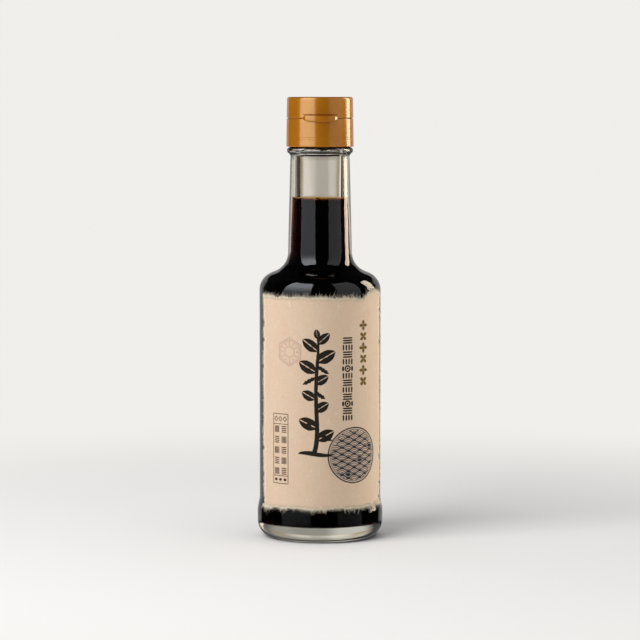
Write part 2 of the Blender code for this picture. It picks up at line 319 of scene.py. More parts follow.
def make_object(name: str, surface: Surface, *finishes: "Finish", sharp: float | None = 40.0) -> Piece:
    """Makes a mesh object at the origin.

    Args:
        name: the piece's name.
        surface: what to make, in millimetres.
        finishes: its finishes, the first of which every face gets.
        sharp: angle in degrees above which an edge stays sharp, or None for smooth all over.

    Returns:
        The linked object.
    """
    mesh = bpy.data.meshes.new(name)
    faces = [face for corners in surface.faces for face in corners.tolist()]
    mesh.from_pydata((surface.points * MM).tolist(), [], faces)
    mesh.validate()
    mesh.shade_smooth()
    if sharp is not None:
        mesh.set_sharp_from_angle(angle=math.radians(sharp))
    for finish in finishes:
        mesh.materials.append(finish.material())
    return link(name, mesh)


def settle(piece: Piece, body: Body, slot: Slot, *replaced: str) -> Piece:
    """Lets a piece ride on a body and hides the CAD nodes that it stands for."""
    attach(piece, body.value)
    if replaced:
        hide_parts(*replaced)
    return piece


class NodeWork:
    """Short ways to lay out nodes. In an input's name _ stands for a blank."""

    def __init__(self, name: str) -> None:
        """Makes a material with its Principled shader."""
        self.material = bpy.data.materials.new(name)
        self.material.use_nodes = True
        self.tree = self.material.node_tree
        self.shader = self.tree.nodes["Principled BSDF"]

    def node(self, kind: str, **settings: object) -> bpy.types.Node:
        """Adds a node and sets its own properties."""
        made = self.tree.nodes.new("ShaderNode" + kind)
        for key, value in settings.items():
            setattr(made, key, value)
        return made

    def feed(self, target: Socket, value: object) -> None:
        """Links a socket, or sets a plain value or colour."""
        if isinstance(value, Socket):
            self.tree.links.new(value, target)
        else:
            target.default_value = (*value, 1.0) if target.type == "RGBA" else value

    def fill(self, made: bpy.types.Node, **inputs: object) -> bpy.types.Node:
        """Feeds a node's inputs by name."""
        for name, value in inputs.items():
            self.feed(made.inputs[name.replace("_", " ")], value)
        return made

    def dress(self, **inputs: object) -> bpy.types.Material:
        """Feeds the shader's inputs by name and gives the material."""
        self.fill(self.shader, **inputs)
        return self.material

    def place(self, scale: Triple = WHITE, turn: float = 0.0, kind: str = "Object",
              shift: Triple = BLACK) -> Socket:
        """Coordinates in millimetres, or in the piece's own map, stretched, shifted and turned about Z."""
        unit = 1.0 / MM if kind == "Object" else 1.0
        made = self.fill(self.node("Mapping"), Vector=self.node("TexCoord").outputs[kind], Location=shift,
                         Rotation=(0.0, 0.0, math.radians(turn)), Scale=tuple(unit * s for s in scale))
        return made.outputs[0]

    def noise(self, vector: Socket, scale: float, detail: float = 3.0, roughness: float = 0.5,
              distortion: float = 0.0) -> Socket:
        """Noise between 0 and 1."""
        made = self.fill(self.node("TexNoise"), Vector=vector, Scale=scale, Detail=detail,
                         Roughness=roughness, Distortion=distortion)
        return made.outputs["Fac"]

    def math(self, operation: str, *values: object) -> Socket:
        """One step of arithmetic."""
        made = self.node("Math", operation=operation)
        for socket, value in zip(made.inputs, values):
            self.feed(socket, value)
        return made.outputs[0]

    def span(self, *values: object) -> Socket:
        """Maps value, from low, from high to another range, 0 to 1 unless given, eased at both ends."""
        made = self.node("MapRange", interpolation_type="SMOOTHSTEP")
        for socket, number in zip(made.inputs, values):
            self.feed(socket, number)
        return made.outputs[0]

    def mix(self, share: object, a: object, b: object, blend: str = "MIX") -> Socket:
        """Mixes two colours."""
        made = self.node("Mix", data_type="RGBA", blend_type=blend)
        for number, value in ((0, share), (6, a), (7, b)):
            self.feed(made.inputs[number], value)
        return made.outputs[2]

    def bump(self, height: Socket, depth: float, strength: float = 1.0, **over: Socket) -> Socket:
        """Normal of a relief that is depth millimetres deep where height goes from 0 to 1."""
        made = self.fill(self.node("Bump"), Strength=strength, Distance=depth * MM, Height=height, **over)
        return made.outputs[0]

    def fibres(self, vector: Socket, scale: float, width: float) -> Socket:
        """Thin curly lines where a noise crosses its middle value."""
        value = self.noise(vector, scale, 1.5, 0.5, 0.6)
        off_middle = self.math("ABSOLUTE", self.math("SUBTRACT", value, 0.5))
        return self.span(off_middle, 0.0, width, 1.0, 0.0)


def dimmed(colour: Triple, share: float) -> Triple:
    """A colour times a number."""
    return tuple(share * c for c in colour)


@dataclass(frozen=True)
class Finish:
    """What every finish has: a name and a way to make its material."""

    name: str

    def material(self) -> bpy.types.Material:
        """Makes the material."""
        return self.laid_out(NodeWork(self.name))

    def laid_out(self, work: NodeWork) -> bpy.types.Material:
        """Lays out the nodes; each finish does it in its own way."""
        return work.material


@dataclass(frozen=True)
class ClearGlass(Finish):
    """Pressed clear glass with a barely uneven surface, whose reflection is dimmed between two heights above
    the heel as a painted shade.
    """

    ior: float = GLASS_IOR
    tint: Triple = (0.97, 0.955, 0.92)
    ripple: float = 0.004
    painted_dim_heel_reflection: float = 0.25

    def laid_out(self, work: NodeWork) -> bpy.types.Material:
        """Ripple and specks of handling, and a band between two heights whose reflection is dimmed as painted
        shade.
        """
        near = work.place()
        height = work.fill(work.node("SeparateXYZ"), Vector=near).outputs[2]
        # painted shade: the specular tint is dimmed in a band above the heel, so the glass below the label
        # reflects less
        heel = work.math("MULTIPLY", work.span(height, 6.5, 8.5), work.span(height, 15.5, 18.5, 1.0, 0.0))
        return work.dress(Base_Color=self.tint, Transmission_Weight=1.0, IOR=self.ior,
                          Specular_Tint=work.mix(heel, WHITE, dimmed(WHITE, self.painted_dim_heel_reflection)),
                          Roughness=work.span(work.noise(near, 2.4, 4.0), 0.35, 0.75, 0.0, 0.012),
                          Normal=work.bump(work.noise(near, 0.16, 2.0, 0.45), self.ripple))


@dataclass(frozen=True)
class SauceLiquid(Finish):
    """Soy sauce: it takes up light along the way through it, blue first and red last."""

    taken_per_mm: Triple = (0.42, 1.15, 2.6)
    tint: Triple = (1.0, 0.99, 0.98)

    def laid_out(self, work: NodeWork) -> bpy.types.Material:
        """A clear boundary, and a volume whose density and colour give what is taken."""
        density = max(self.taken_per_mm) * 1.05
        volume = work.fill(work.node("VolumeAbsorption"), Density=density / MM,
                           Color=tuple(1.0 - taken / density for taken in self.taken_per_mm))
        work.fill(work.tree.nodes["Material Output"], Volume=volume.outputs[0])
        cloud = work.noise(work.place(), 0.35, 2.0, 0.5)
        return work.dress(Base_Color=work.mix(cloud, self.tint, dimmed(self.tint, 0.97)),
                          Transmission_Weight=1.0, IOR=1.0, Roughness=0.0)


@dataclass(frozen=True)
class Speckled(Finish):
    """Finish whose colour and roughness change in specks.

    Fields: colour and other are mixed by a noise of the given scale, detail and roughness, eased
    between the two values of edge where it has them; rough is the roughness at both ends; relief is
    the depth in millimetres and strength of the bump, made of the specks or of a noise of its own;
    more holds further shader inputs.
    """

    colour: Triple
    other: Triple
    specks: Triple
    edge: Pair | None
    rough: Pair
    relief: Pair
    relief_noise: Pair | None = None
    more: tuple[tuple[str, float], ...] = ()

    def laid_out(self, work: NodeWork) -> bpy.types.Material:
        """Specks in colour, roughness and relief."""
        near = work.place()
        speck = work.noise(near, *self.specks)
        share = work.span(speck, *self.edge) if self.edge else speck
        grain = work.noise(near, *self.relief_noise) if self.relief_noise else speck
        return work.dress(Base_Color=work.mix(share, self.colour, self.other), **dict(self.more),
                          Roughness=work.span(speck, 0.2, 0.8, *self.rough),
                          Normal=work.bump(grain, *self.relief))


SAUCE_TINT: Triple = (0.99, 0.94, 0.82)
PLASTIC_TINT: Triple = (0.80, 0.79, 0.74)
SAUCE_SKIN = Speckled("sauce surface", colour=SAUCE_TINT, other=dimmed(SAUCE_TINT, 0.9),
                      specks=(1.3, 3.0, 0.5), edge=None, rough=(0.0, 0.05), relief=(0.02, 0.5),
                      relief_noise=(0.8, 2.0), more=(("Transmission_Weight", 1.0), ("IOR", SAUCE_IOR)))
FROTH = Speckled("froth", colour=(0.95, 0.86, 0.66), other=(0.80, 0.58, 0.30), specks=(1.9, 2.0, 0.5),
                 edge=(0.35, 0.65), rough=(0.05, 0.15), relief=(0.02, 0.4))
PAPER_FIBRE = Speckled("torn fibres", colour=(0.98, 0.90, 0.75), other=(0.87, 0.75, 0.57),
                       specks=(1.1, 2.0, 0.5), edge=(0.42, 0.62), rough=(0.75, 0.9), relief=(0.02, 1.0),
                       relief_noise=(6.0, 2.0), more=(("Specular_IOR_Level", 0.2),))
MILKY_PLASTIC = Speckled("milky plastic", colour=PLASTIC_TINT, other=dimmed(PLASTIC_TINT, 0.93),
                         specks=(2.2, 4.0, 0.6), edge=None, rough=(0.36, 0.52), relief=(0.03, 0.6),
                         more=(("Subsurface_Weight", 0.25), ("Subsurface_Scale", 0.6 * MM)))


@dataclass(frozen=True)
class FibrousPaper(Finish):
    """Handmade label paper: cream, with long pale and tan fibres, and white where it is torn."""

    cream: Triple = (0.760, 0.590, 0.425)
    rosy: Triple = (0.770, 0.565, 0.410)
    torn: Triple = (0.96, 0.86, 0.69)
    brown: Triple = (0.50, 0.36, 0.23)

    def laid_out(self, work: NodeWork) -> bpy.types.Material:
        """Clouds, grain and fibres on the flat map, and the rim attribute for the torn edge."""
        flat = work.place(kind="UV")
        fine = work.noise(flat, 1.6, 4.0, 0.65)
        pale = work.fibres(work.place((1.0, 0.45, 1.0), 24.0, "UV"), 0.42, 0.010)
        tan = work.fibres(work.place((0.5, 1.0, 1.0), -31.0, "UV", (7.0, 3.0, 0.0)), 0.36, 0.008)
        rim = work.node("Attribute", attribute_name="rim").outputs["Fac"]
        ragged = work.math("ADD", rim, work.span(work.noise(flat, 2.6, 3.0), 0.2, 0.8, -0.35, 0.35))
        colour = work.mix(work.span(work.noise(flat, 0.09, 3.0, 0.55), 0.32, 0.70), self.cream, self.rosy)
        for share, over in ((work.span(fine, 0.35, 0.75, 0.0, 0.30), dimmed(self.cream, 0.90)),
                            (work.math("MULTIPLY", pale, 0.35), self.torn),
                            (work.math("MULTIPLY", tan, 0.22), self.brown),
                            (work.span(ragged, 0.35, 0.95), self.torn)):
            colour = work.mix(share, colour, over)
        relief = work.bump(fine, 0.06, 0.7, Normal=work.bump(work.math("ADD", pale, tan), 0.05, 0.6))
        return work.dress(Base_Color=colour, Roughness=work.span(fine, 0.2, 0.8, 0.78, 0.95),
                          Specular_IOR_Level=0.25,
                          Normal=work.bump(work.noise(flat, 0.22, 2.0), 0.5, 0.35, Normal=relief))


@dataclass(frozen=True)
class PrintInk(Finish):
    """Ink on rough paper: it is thin in specks, where the paper's colour shows."""

    colour: Triple
    worn: Triple
    wear: float

    def laid_out(self, work: NodeWork) -> bpy.types.Material:
        """Fine and broad noise together bare the paper."""
        near = work.place()
        speck = work.noise(near, 3.1, 4.0, 0.7)
        broad = work.math("MULTIPLY", work.noise(near, 0.30, 2.0), 0.35)
        bare = work.span(work.math("ADD", speck, broad), 0.88 - self.wear * 0.4, 1.02)
        return work.dress(Base_Color=work.mix(bare, self.colour, self.worn), Specular_IOR_Level=0.3,
                          Roughness=work.span(speck, 0.2, 0.8, 0.62, 0.85),
                          Normal=work.bump(speck, 0.02, 0.6))


@dataclass(frozen=True)
class GoldPlastic(Finish):
    """Moulded plastic with a satin gold coat: fine orange peel, faint upright drawing and scuffs."""

    gold: Triple = (0.47, 0.172, 0.006)
    deep: Triple = (0.43, 0.150, 0.004)
    scuffed: Triple = (0.60, 0.30, 0.05)
    metal: float = 0.16
    roughness: float = 0.28

    def laid_out(self, work: NodeWork) -> bpy.types.Material:
        """Clouds and scuffs in the colour, and three sizes of relief."""
        near = work.place()
        grain = work.noise(near, 5.5, 3.0, 0.6)
        drawn = work.noise(work.place((1.0, 1.0, 0.08)), 2.2, 2.0, 0.5)
        scuff = work.span(work.noise(work.place((1.0, 1.0, 0.5)), 1.1, 5.0, 0.72), 0.58, 0.78)
        colour = work.mix(work.span(work.noise(near, 0.14, 3.0), 0.3, 0.7), self.gold, self.deep)
        rough = work.span(grain, 0.2, 0.8, self.roughness - 0.03, self.roughness + 0.05)
        relief = work.bump(drawn, 0.010, 0.5, Normal=work.bump(grain, 0.012, 0.5))
        return work.dress(Base_Color=work.mix(work.math("MULTIPLY", scuff, 0.18), colour, self.scuffed),
                          Roughness=work.math("ADD", rough, work.math("MULTIPLY", scuff, 0.10)),
                          Metallic=self.metal, Specular_IOR_Level=0.12,
                          Coat_Weight=1.0, Coat_IOR=1.5, Coat_Roughness=0.13,
                          Normal=work.bump(work.noise(near, 0.35, 2.0), 0.05, 0.5, Normal=relief))


@dataclass(frozen=True)
class PaleFloor(Finish):
    """Pale table top that takes shadows near the bottle and melts into the backdrop further away."""

    far: Triple = (0.871, 0.863, 0.831)
    albedo: Triple = (0.700, 0.690, 0.680)
    speck: Triple = (0.64, 0.63, 0.62)
    near_glow: Triple = (0.020, 0.020, 0.020)
    fade: Pair = (150.0, 420.0)

    def laid_out(self, work: NodeWork) -> bpy.types.Material:
        """The distance from the bottle fades the lit colour out and the backdrop's colour in."""
        place = work.place()
        length = work.fill(work.node("VectorMath", operation="LENGTH"), Vector=place).outputs["Value"]
        away = work.span(length, *self.fade)
        fine = work.noise(place, 0.8, 3.0)
        lit = work.mix(work.span(fine, 0.3, 0.7, 0.0, 0.02), self.albedo, self.speck)
        return work.dress(Base_Color=work.mix(away, lit, BLACK), Roughness=0.9, Specular_IOR_Level=0.0,
                          Emission_Color=work.mix(away, self.near_glow, self.far), Emission_Strength=1.0,
                          Normal=work.bump(fine, 0.05, 0.1))


@dataclass
class BottleForm:
    """The bottle's turned outline, which the sauce and the label follow."""

    body_radius: float = 26.0
    wall: float = 2.4
    neck_wall: float = 4.3
    shoulder_foot: float = 106.3
    shoulder_round: float = 8.05
    neck_fillet: float = 8.7
    shoulder_angle: float = 67.4
    neck_foot_radius: float = 13.68
    neck_lean: float = 1.4
    neck_top: float = 164.6
    under_bead: float = 0.9
    bead_radius: float = 14.2
    bead_round: float = 1.35
    bead_z: float = 166.2
    mouth_radius: float = 12.6
    bore_radius: float = 9.3
    swell_top: float = 17.7
    swell_foot: float = 10.8
    heel_round: float = 6.0
    heel_rise: float = 7.6
    stand_inner: float = 18.6
    push_up: float = 1.6
    floor_edge: float = SAUCE_FOOT + 0.8
    floor_crown: float = 0.6
    inner_corner: float = 1.3
    bore: tuple[Pair, ...] = ((8.75, 140.0), (8.62, 147.0), (8.55, 155.0), (8.55, 163.0))
    level: float = SAUCE_TOP - 1.1
    climb: float = 1.2
    climb_reach: float = 0.50
    longest: float = 2.2

    def neck_foot_z(self) -> float:
        """Height where the neck's line runs into the shoulder: the arcs' drops and the straight's."""
        lean, angle = math.radians(self.neck_lean), math.radians(self.shoulder_angle)
        across = self.neck_fillet * (math.cos(lean) - math.cos(angle))
        across += self.shoulder_round * (1.0 - math.cos(angle))
        straight = (self.body_radius - self.neck_foot_radius - across) / math.sin(angle)
        drop = (self.neck_fillet + self.shoulder_round) * math.sin(angle) - self.neck_fillet * math.sin(lean)
        return self.shoulder_foot + drop + straight * math.cos(angle)

    def neck_radius(self, z: float) -> float:
        """Radius of the neck's outside at a height."""
        return self.neck_foot_radius - math.tan(math.radians(self.neck_lean)) * (z - self.neck_foot_z())

    def shoulder(self, neck_inset: float, inset: float) -> Array:
        """The shoulder from the neck down, moved into the glass by neck_inset that turns into inset."""
        lean = math.radians(self.neck_lean)
        fillet_centre = (self.neck_foot_radius + self.neck_fillet * math.cos(lean),
                         self.neck_foot_z() + self.neck_fillet * math.sin(lean))
        fillet = arc(fillet_centre, self.neck_fillet + neck_inset, 180.0 + self.neck_lean,
                     180.0 + self.shoulder_angle, 18, self.neck_fillet + inset)
        bend = arc((self.body_radius - self.shoulder_round, self.shoulder_foot), self.shoulder_round - inset,
                   self.shoulder_angle, 0.0, 18)
        return np.vstack([fillet, bend])

    def lip(self, side: float, start: float, end: float) -> Array:
        """Quarter of the round lip, on the outside where side is 1 and on the inside where it is -1."""
        lip_round = (self.mouth_radius - self.bore_radius) / 2.0
        middle = self.mouth_radius - lip_round if side > 0.0 else self.bore_radius + lip_round
        return arc((middle, GLASS_TOP - lip_round), lip_round, start, end, 8)

    def outside(self) -> Array:
        """The outside from the lip down to the middle of the underside."""
        bead = arc((self.bead_radius - self.bead_round, self.bead_z), self.bead_round, 80.0, -80.0, 14)
        under_bead = arc((self.neck_radius(self.neck_top) + self.under_bead, self.neck_top - self.under_bead),
                         self.under_bead, 100.0, 178.0, 4)
        swell = ease((self.body_radius, self.swell_top), (GLASS_RADIUS, self.swell_foot), 12)
        heel = arc((GLASS_RADIUS - self.heel_round, self.heel_round), self.heel_round, 0.0, -84.0, 16)
        heel[:, 1] *= self.heel_rise / self.heel_round
        under = softened([(*heel[-1], 0.0), (GLASS_RADIUS - self.heel_round - 0.4, 0.0, 0.4),
                          (self.stand_inner, 0.0, 0.5),
                          (self.stand_inner - self.push_up, self.push_up / 2.0, 1.0),
                          (self.stand_inner * 0.5, self.push_up * 0.9, 3.0), (0.0, self.push_up, 0.0)])
        throat = [(self.mouth_radius, self.bead_z + self.bead_round + 0.3)]
        rows = [self.lip(1.0, 90.0, 0.0), throat, bead, under_bead, self.shoulder(0.0, 0.0), swell, heel,
                under[1:]]
        return divided(np.vstack(rows), self.longest)

    def wetted(self) -> float:
        """Height up to which the sauce wets the glass."""
        return self.level + self.climb

    def inside(self) -> Array:
        """The inside from the middle of the floor up to the lip, with a row where the sauce's edge is."""
        corner = (self.body_radius - self.wall - self.inner_corner, self.floor_edge + self.inner_corner)
        share = np.linspace(0.0, 1.0, 9)[:-1]
        floor = np.column_stack([corner[0] * share,
                                 self.floor_edge + self.floor_crown * np.cos(share * np.pi / 2.0) ** 2])
        bend = arc(corner, self.inner_corner, -90.0, 0.0, 12)
        throat = ease(self.bore[-1], (self.bore_radius, self.bead_z + 2.0 * self.bead_round), 8)
        rows = divided(np.vstack([floor, bend, self.shoulder(self.neck_wall, self.wall)[::-1], self.bore[:-1],
                                  throat, self.lip(-1.0, 180.0, 90.0)[:-1]]), self.longest)
        neck = rows[(rows[:, 1] > self.shoulder_foot) & (rows[:, 1] < self.bead_z)]
        edge = [np.interp(self.wetted(), neck[:, 1], neck[:, 0]), self.wetted()]
        return np.vstack([rows[rows[:, 1] < self.wetted()], [edge], rows[rows[:, 1] > self.wetted()]])

    def outer_radius(self, z: Array) -> Array:
        """Radius of the outside between the heel and the lower shoulder at each height."""
        swell = ease((GLASS_RADIUS, self.swell_foot), (self.body_radius, self.swell_top), 24)
        rise = np.clip((z - self.shoulder_foot) / self.shoulder_round, 0.0, 0.9)
        return np.interp(z, swell[:, 1], swell[:, 0]) - self.shoulder_round * (1.0 - np.sqrt(1.0 - rise**2))


FORM = BottleForm()


@dataclass
class GlassBottle:
    """The glass: one closed wall with slightly uneven inside, mould seams and a stippled stand."""

    sides: int = 224
    seam_angles: Pair = (88.0, 268.0)
    seam_height: float = 0.05
    seam_width: float = 0.35
    uneven: float = 0.10
    stipple_count: int = 96
    stipple_depth: float = 0.14

    def angles(self) -> Array:
        """Meridians, closer together beside the mould seams."""
        beside = np.radians(np.array([-1.2, -0.6, 0.0, 0.6, 1.2]))
        extra = [math.radians(seam) + beside for seam in self.seam_angles]
        return np.unique(np.round(np.concatenate([even_angles(self.sides), *extra]), 5))

    def inside_wobble(self, profile: Array) -> Array:
        """Radius changes of the inside: a sum of slow waves round and along the bottle."""
        r, z, a = profile[:, :1], profile[:, 1:], self.angles()[None, :]
        waves = np.sin(2.0 * a + z * 0.045) + 0.6 * np.sin(3.0 * a - z * 0.071 + 1.3)
        waves = waves + 0.35 * np.sin(7.0 * a + 0.17 * z) + 0.3 * np.sin(11.0 * a - 0.05 * z + 2.0)
        fade = smoothstep(0.0, 12.0, r) * smoothstep(4.0, 9.0, z) * (1.0 - smoothstep(164.0, 168.0, z))
        return -self.uneven * waves * fade * (1.0 - 0.55 * smoothstep(110.0, 128.0, z))

    def ridge(self, profile: Array) -> Array:
        """Radius changes of the outside: height exp(-(distance / width)^2) at each mould seam."""
        r, z, a = profile[:, :1], profile[:, 1:], self.angles()[None, :]
        ridge = np.zeros((len(profile), a.shape[1]))
        for seam in self.seam_angles:
            ridge = ridge + np.exp(-(((a - math.radians(seam)) * r / self.seam_width) ** 2))
        return self.seam_height * ridge * smoothstep(7.0, 9.0, z) * (1.0 - smoothstep(163.0, 164.5, z))

    def stipples(self, profile: Array) -> Array:
        """Height of the small ribs pressed into the stand: depth (1 - cos(n a)) / 2 over the ring."""
        r, z, a = profile[:, :1], profile[:, 1:], self.angles()[None, :]
        ring = smoothstep(18.4, 18.9, r) * (1.0 - smoothstep(20.9, 21.6, r)) * (z < 1.0)
        return self.stipple_depth * ring * (1.0 - np.cos(self.stipple_count * a)) / 2.0

    def build(self) -> Piece:
        """Builds the wall: inside from the floor up to the lip, then outside down to the underside."""
        inner, outer = FORM.inside(), FORM.outside()
        profile = np.vstack([inner, outer])
        wobble = np.vstack([self.inside_wobble(inner), self.ridge(outer)])
        surface = turned(profile, self.angles(), wobble, self.stipples(profile))
        piece = make_object("glass_wall", surface, ClearGlass("clear glass"),
                            ClearGlass("glass against the sauce", GLASS_IOR / SAUCE_IOR, WHITE),
                            ClearGlass("glass with a film of sauce", tint=(0.975, 0.915, 0.845)), sharp=50.0)
        self.mark_inside(piece, GLASS_TOP - 1.6)
        return settle(piece, Body.BOTTLE, Slot.GLASS, "glass_bottle")

    @staticmethod
    def mark_inside(piece: Piece, lip_z: float) -> None:
        """Gives faces of the inside the finish of glass against sauce, or above it against a film."""
        middles, normals = (np.zeros(len(piece.data.polygons) * 3) for _ in range(2))
        piece.data.polygons.foreach_get("center", middles)
        piece.data.polygons.foreach_get("normal", normals)
        middles, normals = middles.reshape(-1, 3) / MM, normals.reshape(-1, 3)
        reach, z = np.hypot(middles[:, 0], middles[:, 1]), middles[:, 2]
        inner_radius = FORM.body_radius - FORM.wall
        towards_axis = np.einsum("ij,ij->i", middles[:, :2], normals[:, :2]) < 0.0
        floor = (normals[:, 2] > 0.5) & (z < FORM.floor_edge + FORM.inner_corner) & (reach < inner_radius)
        inner = (towards_axis & (z > FORM.floor_edge - 0.3)) | floor
        inner &= (z < lip_z) & (reach < inner_radius + 0.5)
        inner &= ~((reach > FORM.bore_radius + 2.0) & (z > FORM.neck_top - 2.0))
        index = np.where(inner, np.where(z < FORM.wetted(), 1, 2), 0)
        piece.data.polygons.foreach_set("material_index", index.astype(np.int32))


@dataclass
class SauceFill:
    """The sauce up to its level, its open surface, the bubbles at its edge and a painted dark band by the
    cap.
    """

    glass: GlassBottle
    overlap: float = 0.004
    skin: float = 0.02
    front_bubbles: tuple[float, ...] = (-46.0, -42.5, -39.0, -25.0, -1.5, 1.5, 14.0, 17.0, 20.0, 29.0, 33.0,
                                        37.0, 45.0)
    other_bubbles: int = 14
    dark_band_foot: float = 164.0
    dark_band_top: float = 165.9
    seed: int = 5

    def edge(self) -> float:
        """Radius of the inside where the sauce's edge is."""
        inside = FORM.inside()
        return float(inside[np.argmin(np.abs(inside[:, 1] - FORM.wetted())), 0])

    def meniscus(self) -> Array:
        """Open surface from the glass to the middle: level + climb exp(-(edge - r) / reach)."""
        r = self.edge() * (1.0 - np.linspace(0.0, 1.0, 21) ** 2.2)
        return np.column_stack([r, FORM.level + FORM.climb * np.exp(-(self.edge() - r) / FORM.climb_reach)])

    def open_wobble(self, top: Array) -> Array:
        """Radius changes of the open surface: those of the glass at its edge, gone towards the middle."""
        at_edge = self.glass.inside_wobble(np.array([[self.edge(), FORM.wetted()]]))
        return at_edge * (top[:, :1] / self.edge()) ** 6

    def build(self) -> list[Piece]:
        """Builds the fill point by point behind the glass, and what goes with it."""
        wall, top = FORM.inside(), self.meniscus()
        wall = wall[wall[:, 1] <= FORM.wetted() + ON_AXIS]
        rows = np.vstack([wall, top[1:]])
        wobble = np.vstack([self.glass.inside_wobble(wall) + self.overlap, self.open_wobble(top[1:])])
        lift = np.zeros((len(rows), 1)) - self.overlap * (rows[:, 1:] < FORM.floor_edge + 0.7)
        fill = turned(rows, self.glass.angles(), wobble, lift)
        rows = np.vstack([(top + [0.0, self.skin])[::-1], top + [0.0, self.overlap]])
        skin = turned(rows, self.glass.angles(), self.open_wobble(rows))
        # painted shade: a dark red-brown ring stands in for the dark band seen through the glass under the
        # bead
        dark_band_ink = PrintInk("painted shade band", (0.060, 0.018, 0.010), (0.16, 0.06, 0.03), 0.5)
        pieces = [make_object("soy_sauce_fill", fill, SauceLiquid("soy sauce")),
                  make_object("sauce_surface", skin, SAUCE_SKIN, sharp=None),
                  make_object("sauce_bubbles", self.bubbles(), FROTH, sharp=None),
                  make_object("painted_shade_ring", self.painted_dark_band(), dark_band_ink)]
        settle(pieces[0], Body.BOTTLE, Slot.SAUCE, "soy_sauce")
        for piece in pieces[1:]:
            settle(piece, Body.BOTTLE, Slot.SAUCE)
        return pieces

    def bubbles(self) -> Surface:
        """Small froth bubbles that cling where the surface meets the glass."""
        rng = np.random.default_rng(self.seed)
        scattered = np.degrees(rng.uniform(np.pi / 3.0, 5.0 * np.pi / 3.0, self.other_bubbles))
        profile = arc((0.0, 0.0), 1.0, 90.0, -90.0, 8)
        profile[[0, -1], 0] = 0.0
        ball = turned(profile, even_angles(12))
        bubbles = []
        for angle in [*self.front_bubbles, *scattered]:
            radius = rng.uniform(0.16, 0.33)
            middle = round_about(np.array(self.edge() - radius * 0.7), np.array(math.radians(angle)),
                                 np.array(FORM.level + rng.uniform(0.0, 0.35)))
            stretch = [radius * rng.uniform(1.0, 1.6), radius, radius]
            bubbles.append(Surface(ball.points * stretch + middle, ball.faces))
        return joined(bubbles)

    def painted_dark_band(self) -> Surface:
        """Thin dark ring under the cap's plug, a painted shade, with wavy edges: h(a) is a sum of sines."""
        angles, radius = self.glass.angles(), FORM.bore[-1][0]
        middle = np.array([[radius, (self.dark_band_foot + self.dark_band_top) / 2.0]])
        wall = radius + self.glass.inside_wobble(middle)
        edge = 0.12 * np.sin(5.0 * angles + 0.6) + 0.09 * np.sin(13.0 * angles) + 0.06 * np.sin(29.0 * angles)
        across = np.array([0.004, 0.004, -0.10, -0.10])
        up = np.array([self.dark_band_foot, self.dark_band_top, self.dark_band_top - 0.3, self.dark_band_foot + 0.3])
        wander = np.array([-1.0, 0.8, 0.8, -1.0])[:, None] * edge[None, :]
        profile = np.column_stack([np.full(4, radius), up])
        return turned(profile, angles, (wall - radius) + across[:, None], wander, loop=True)


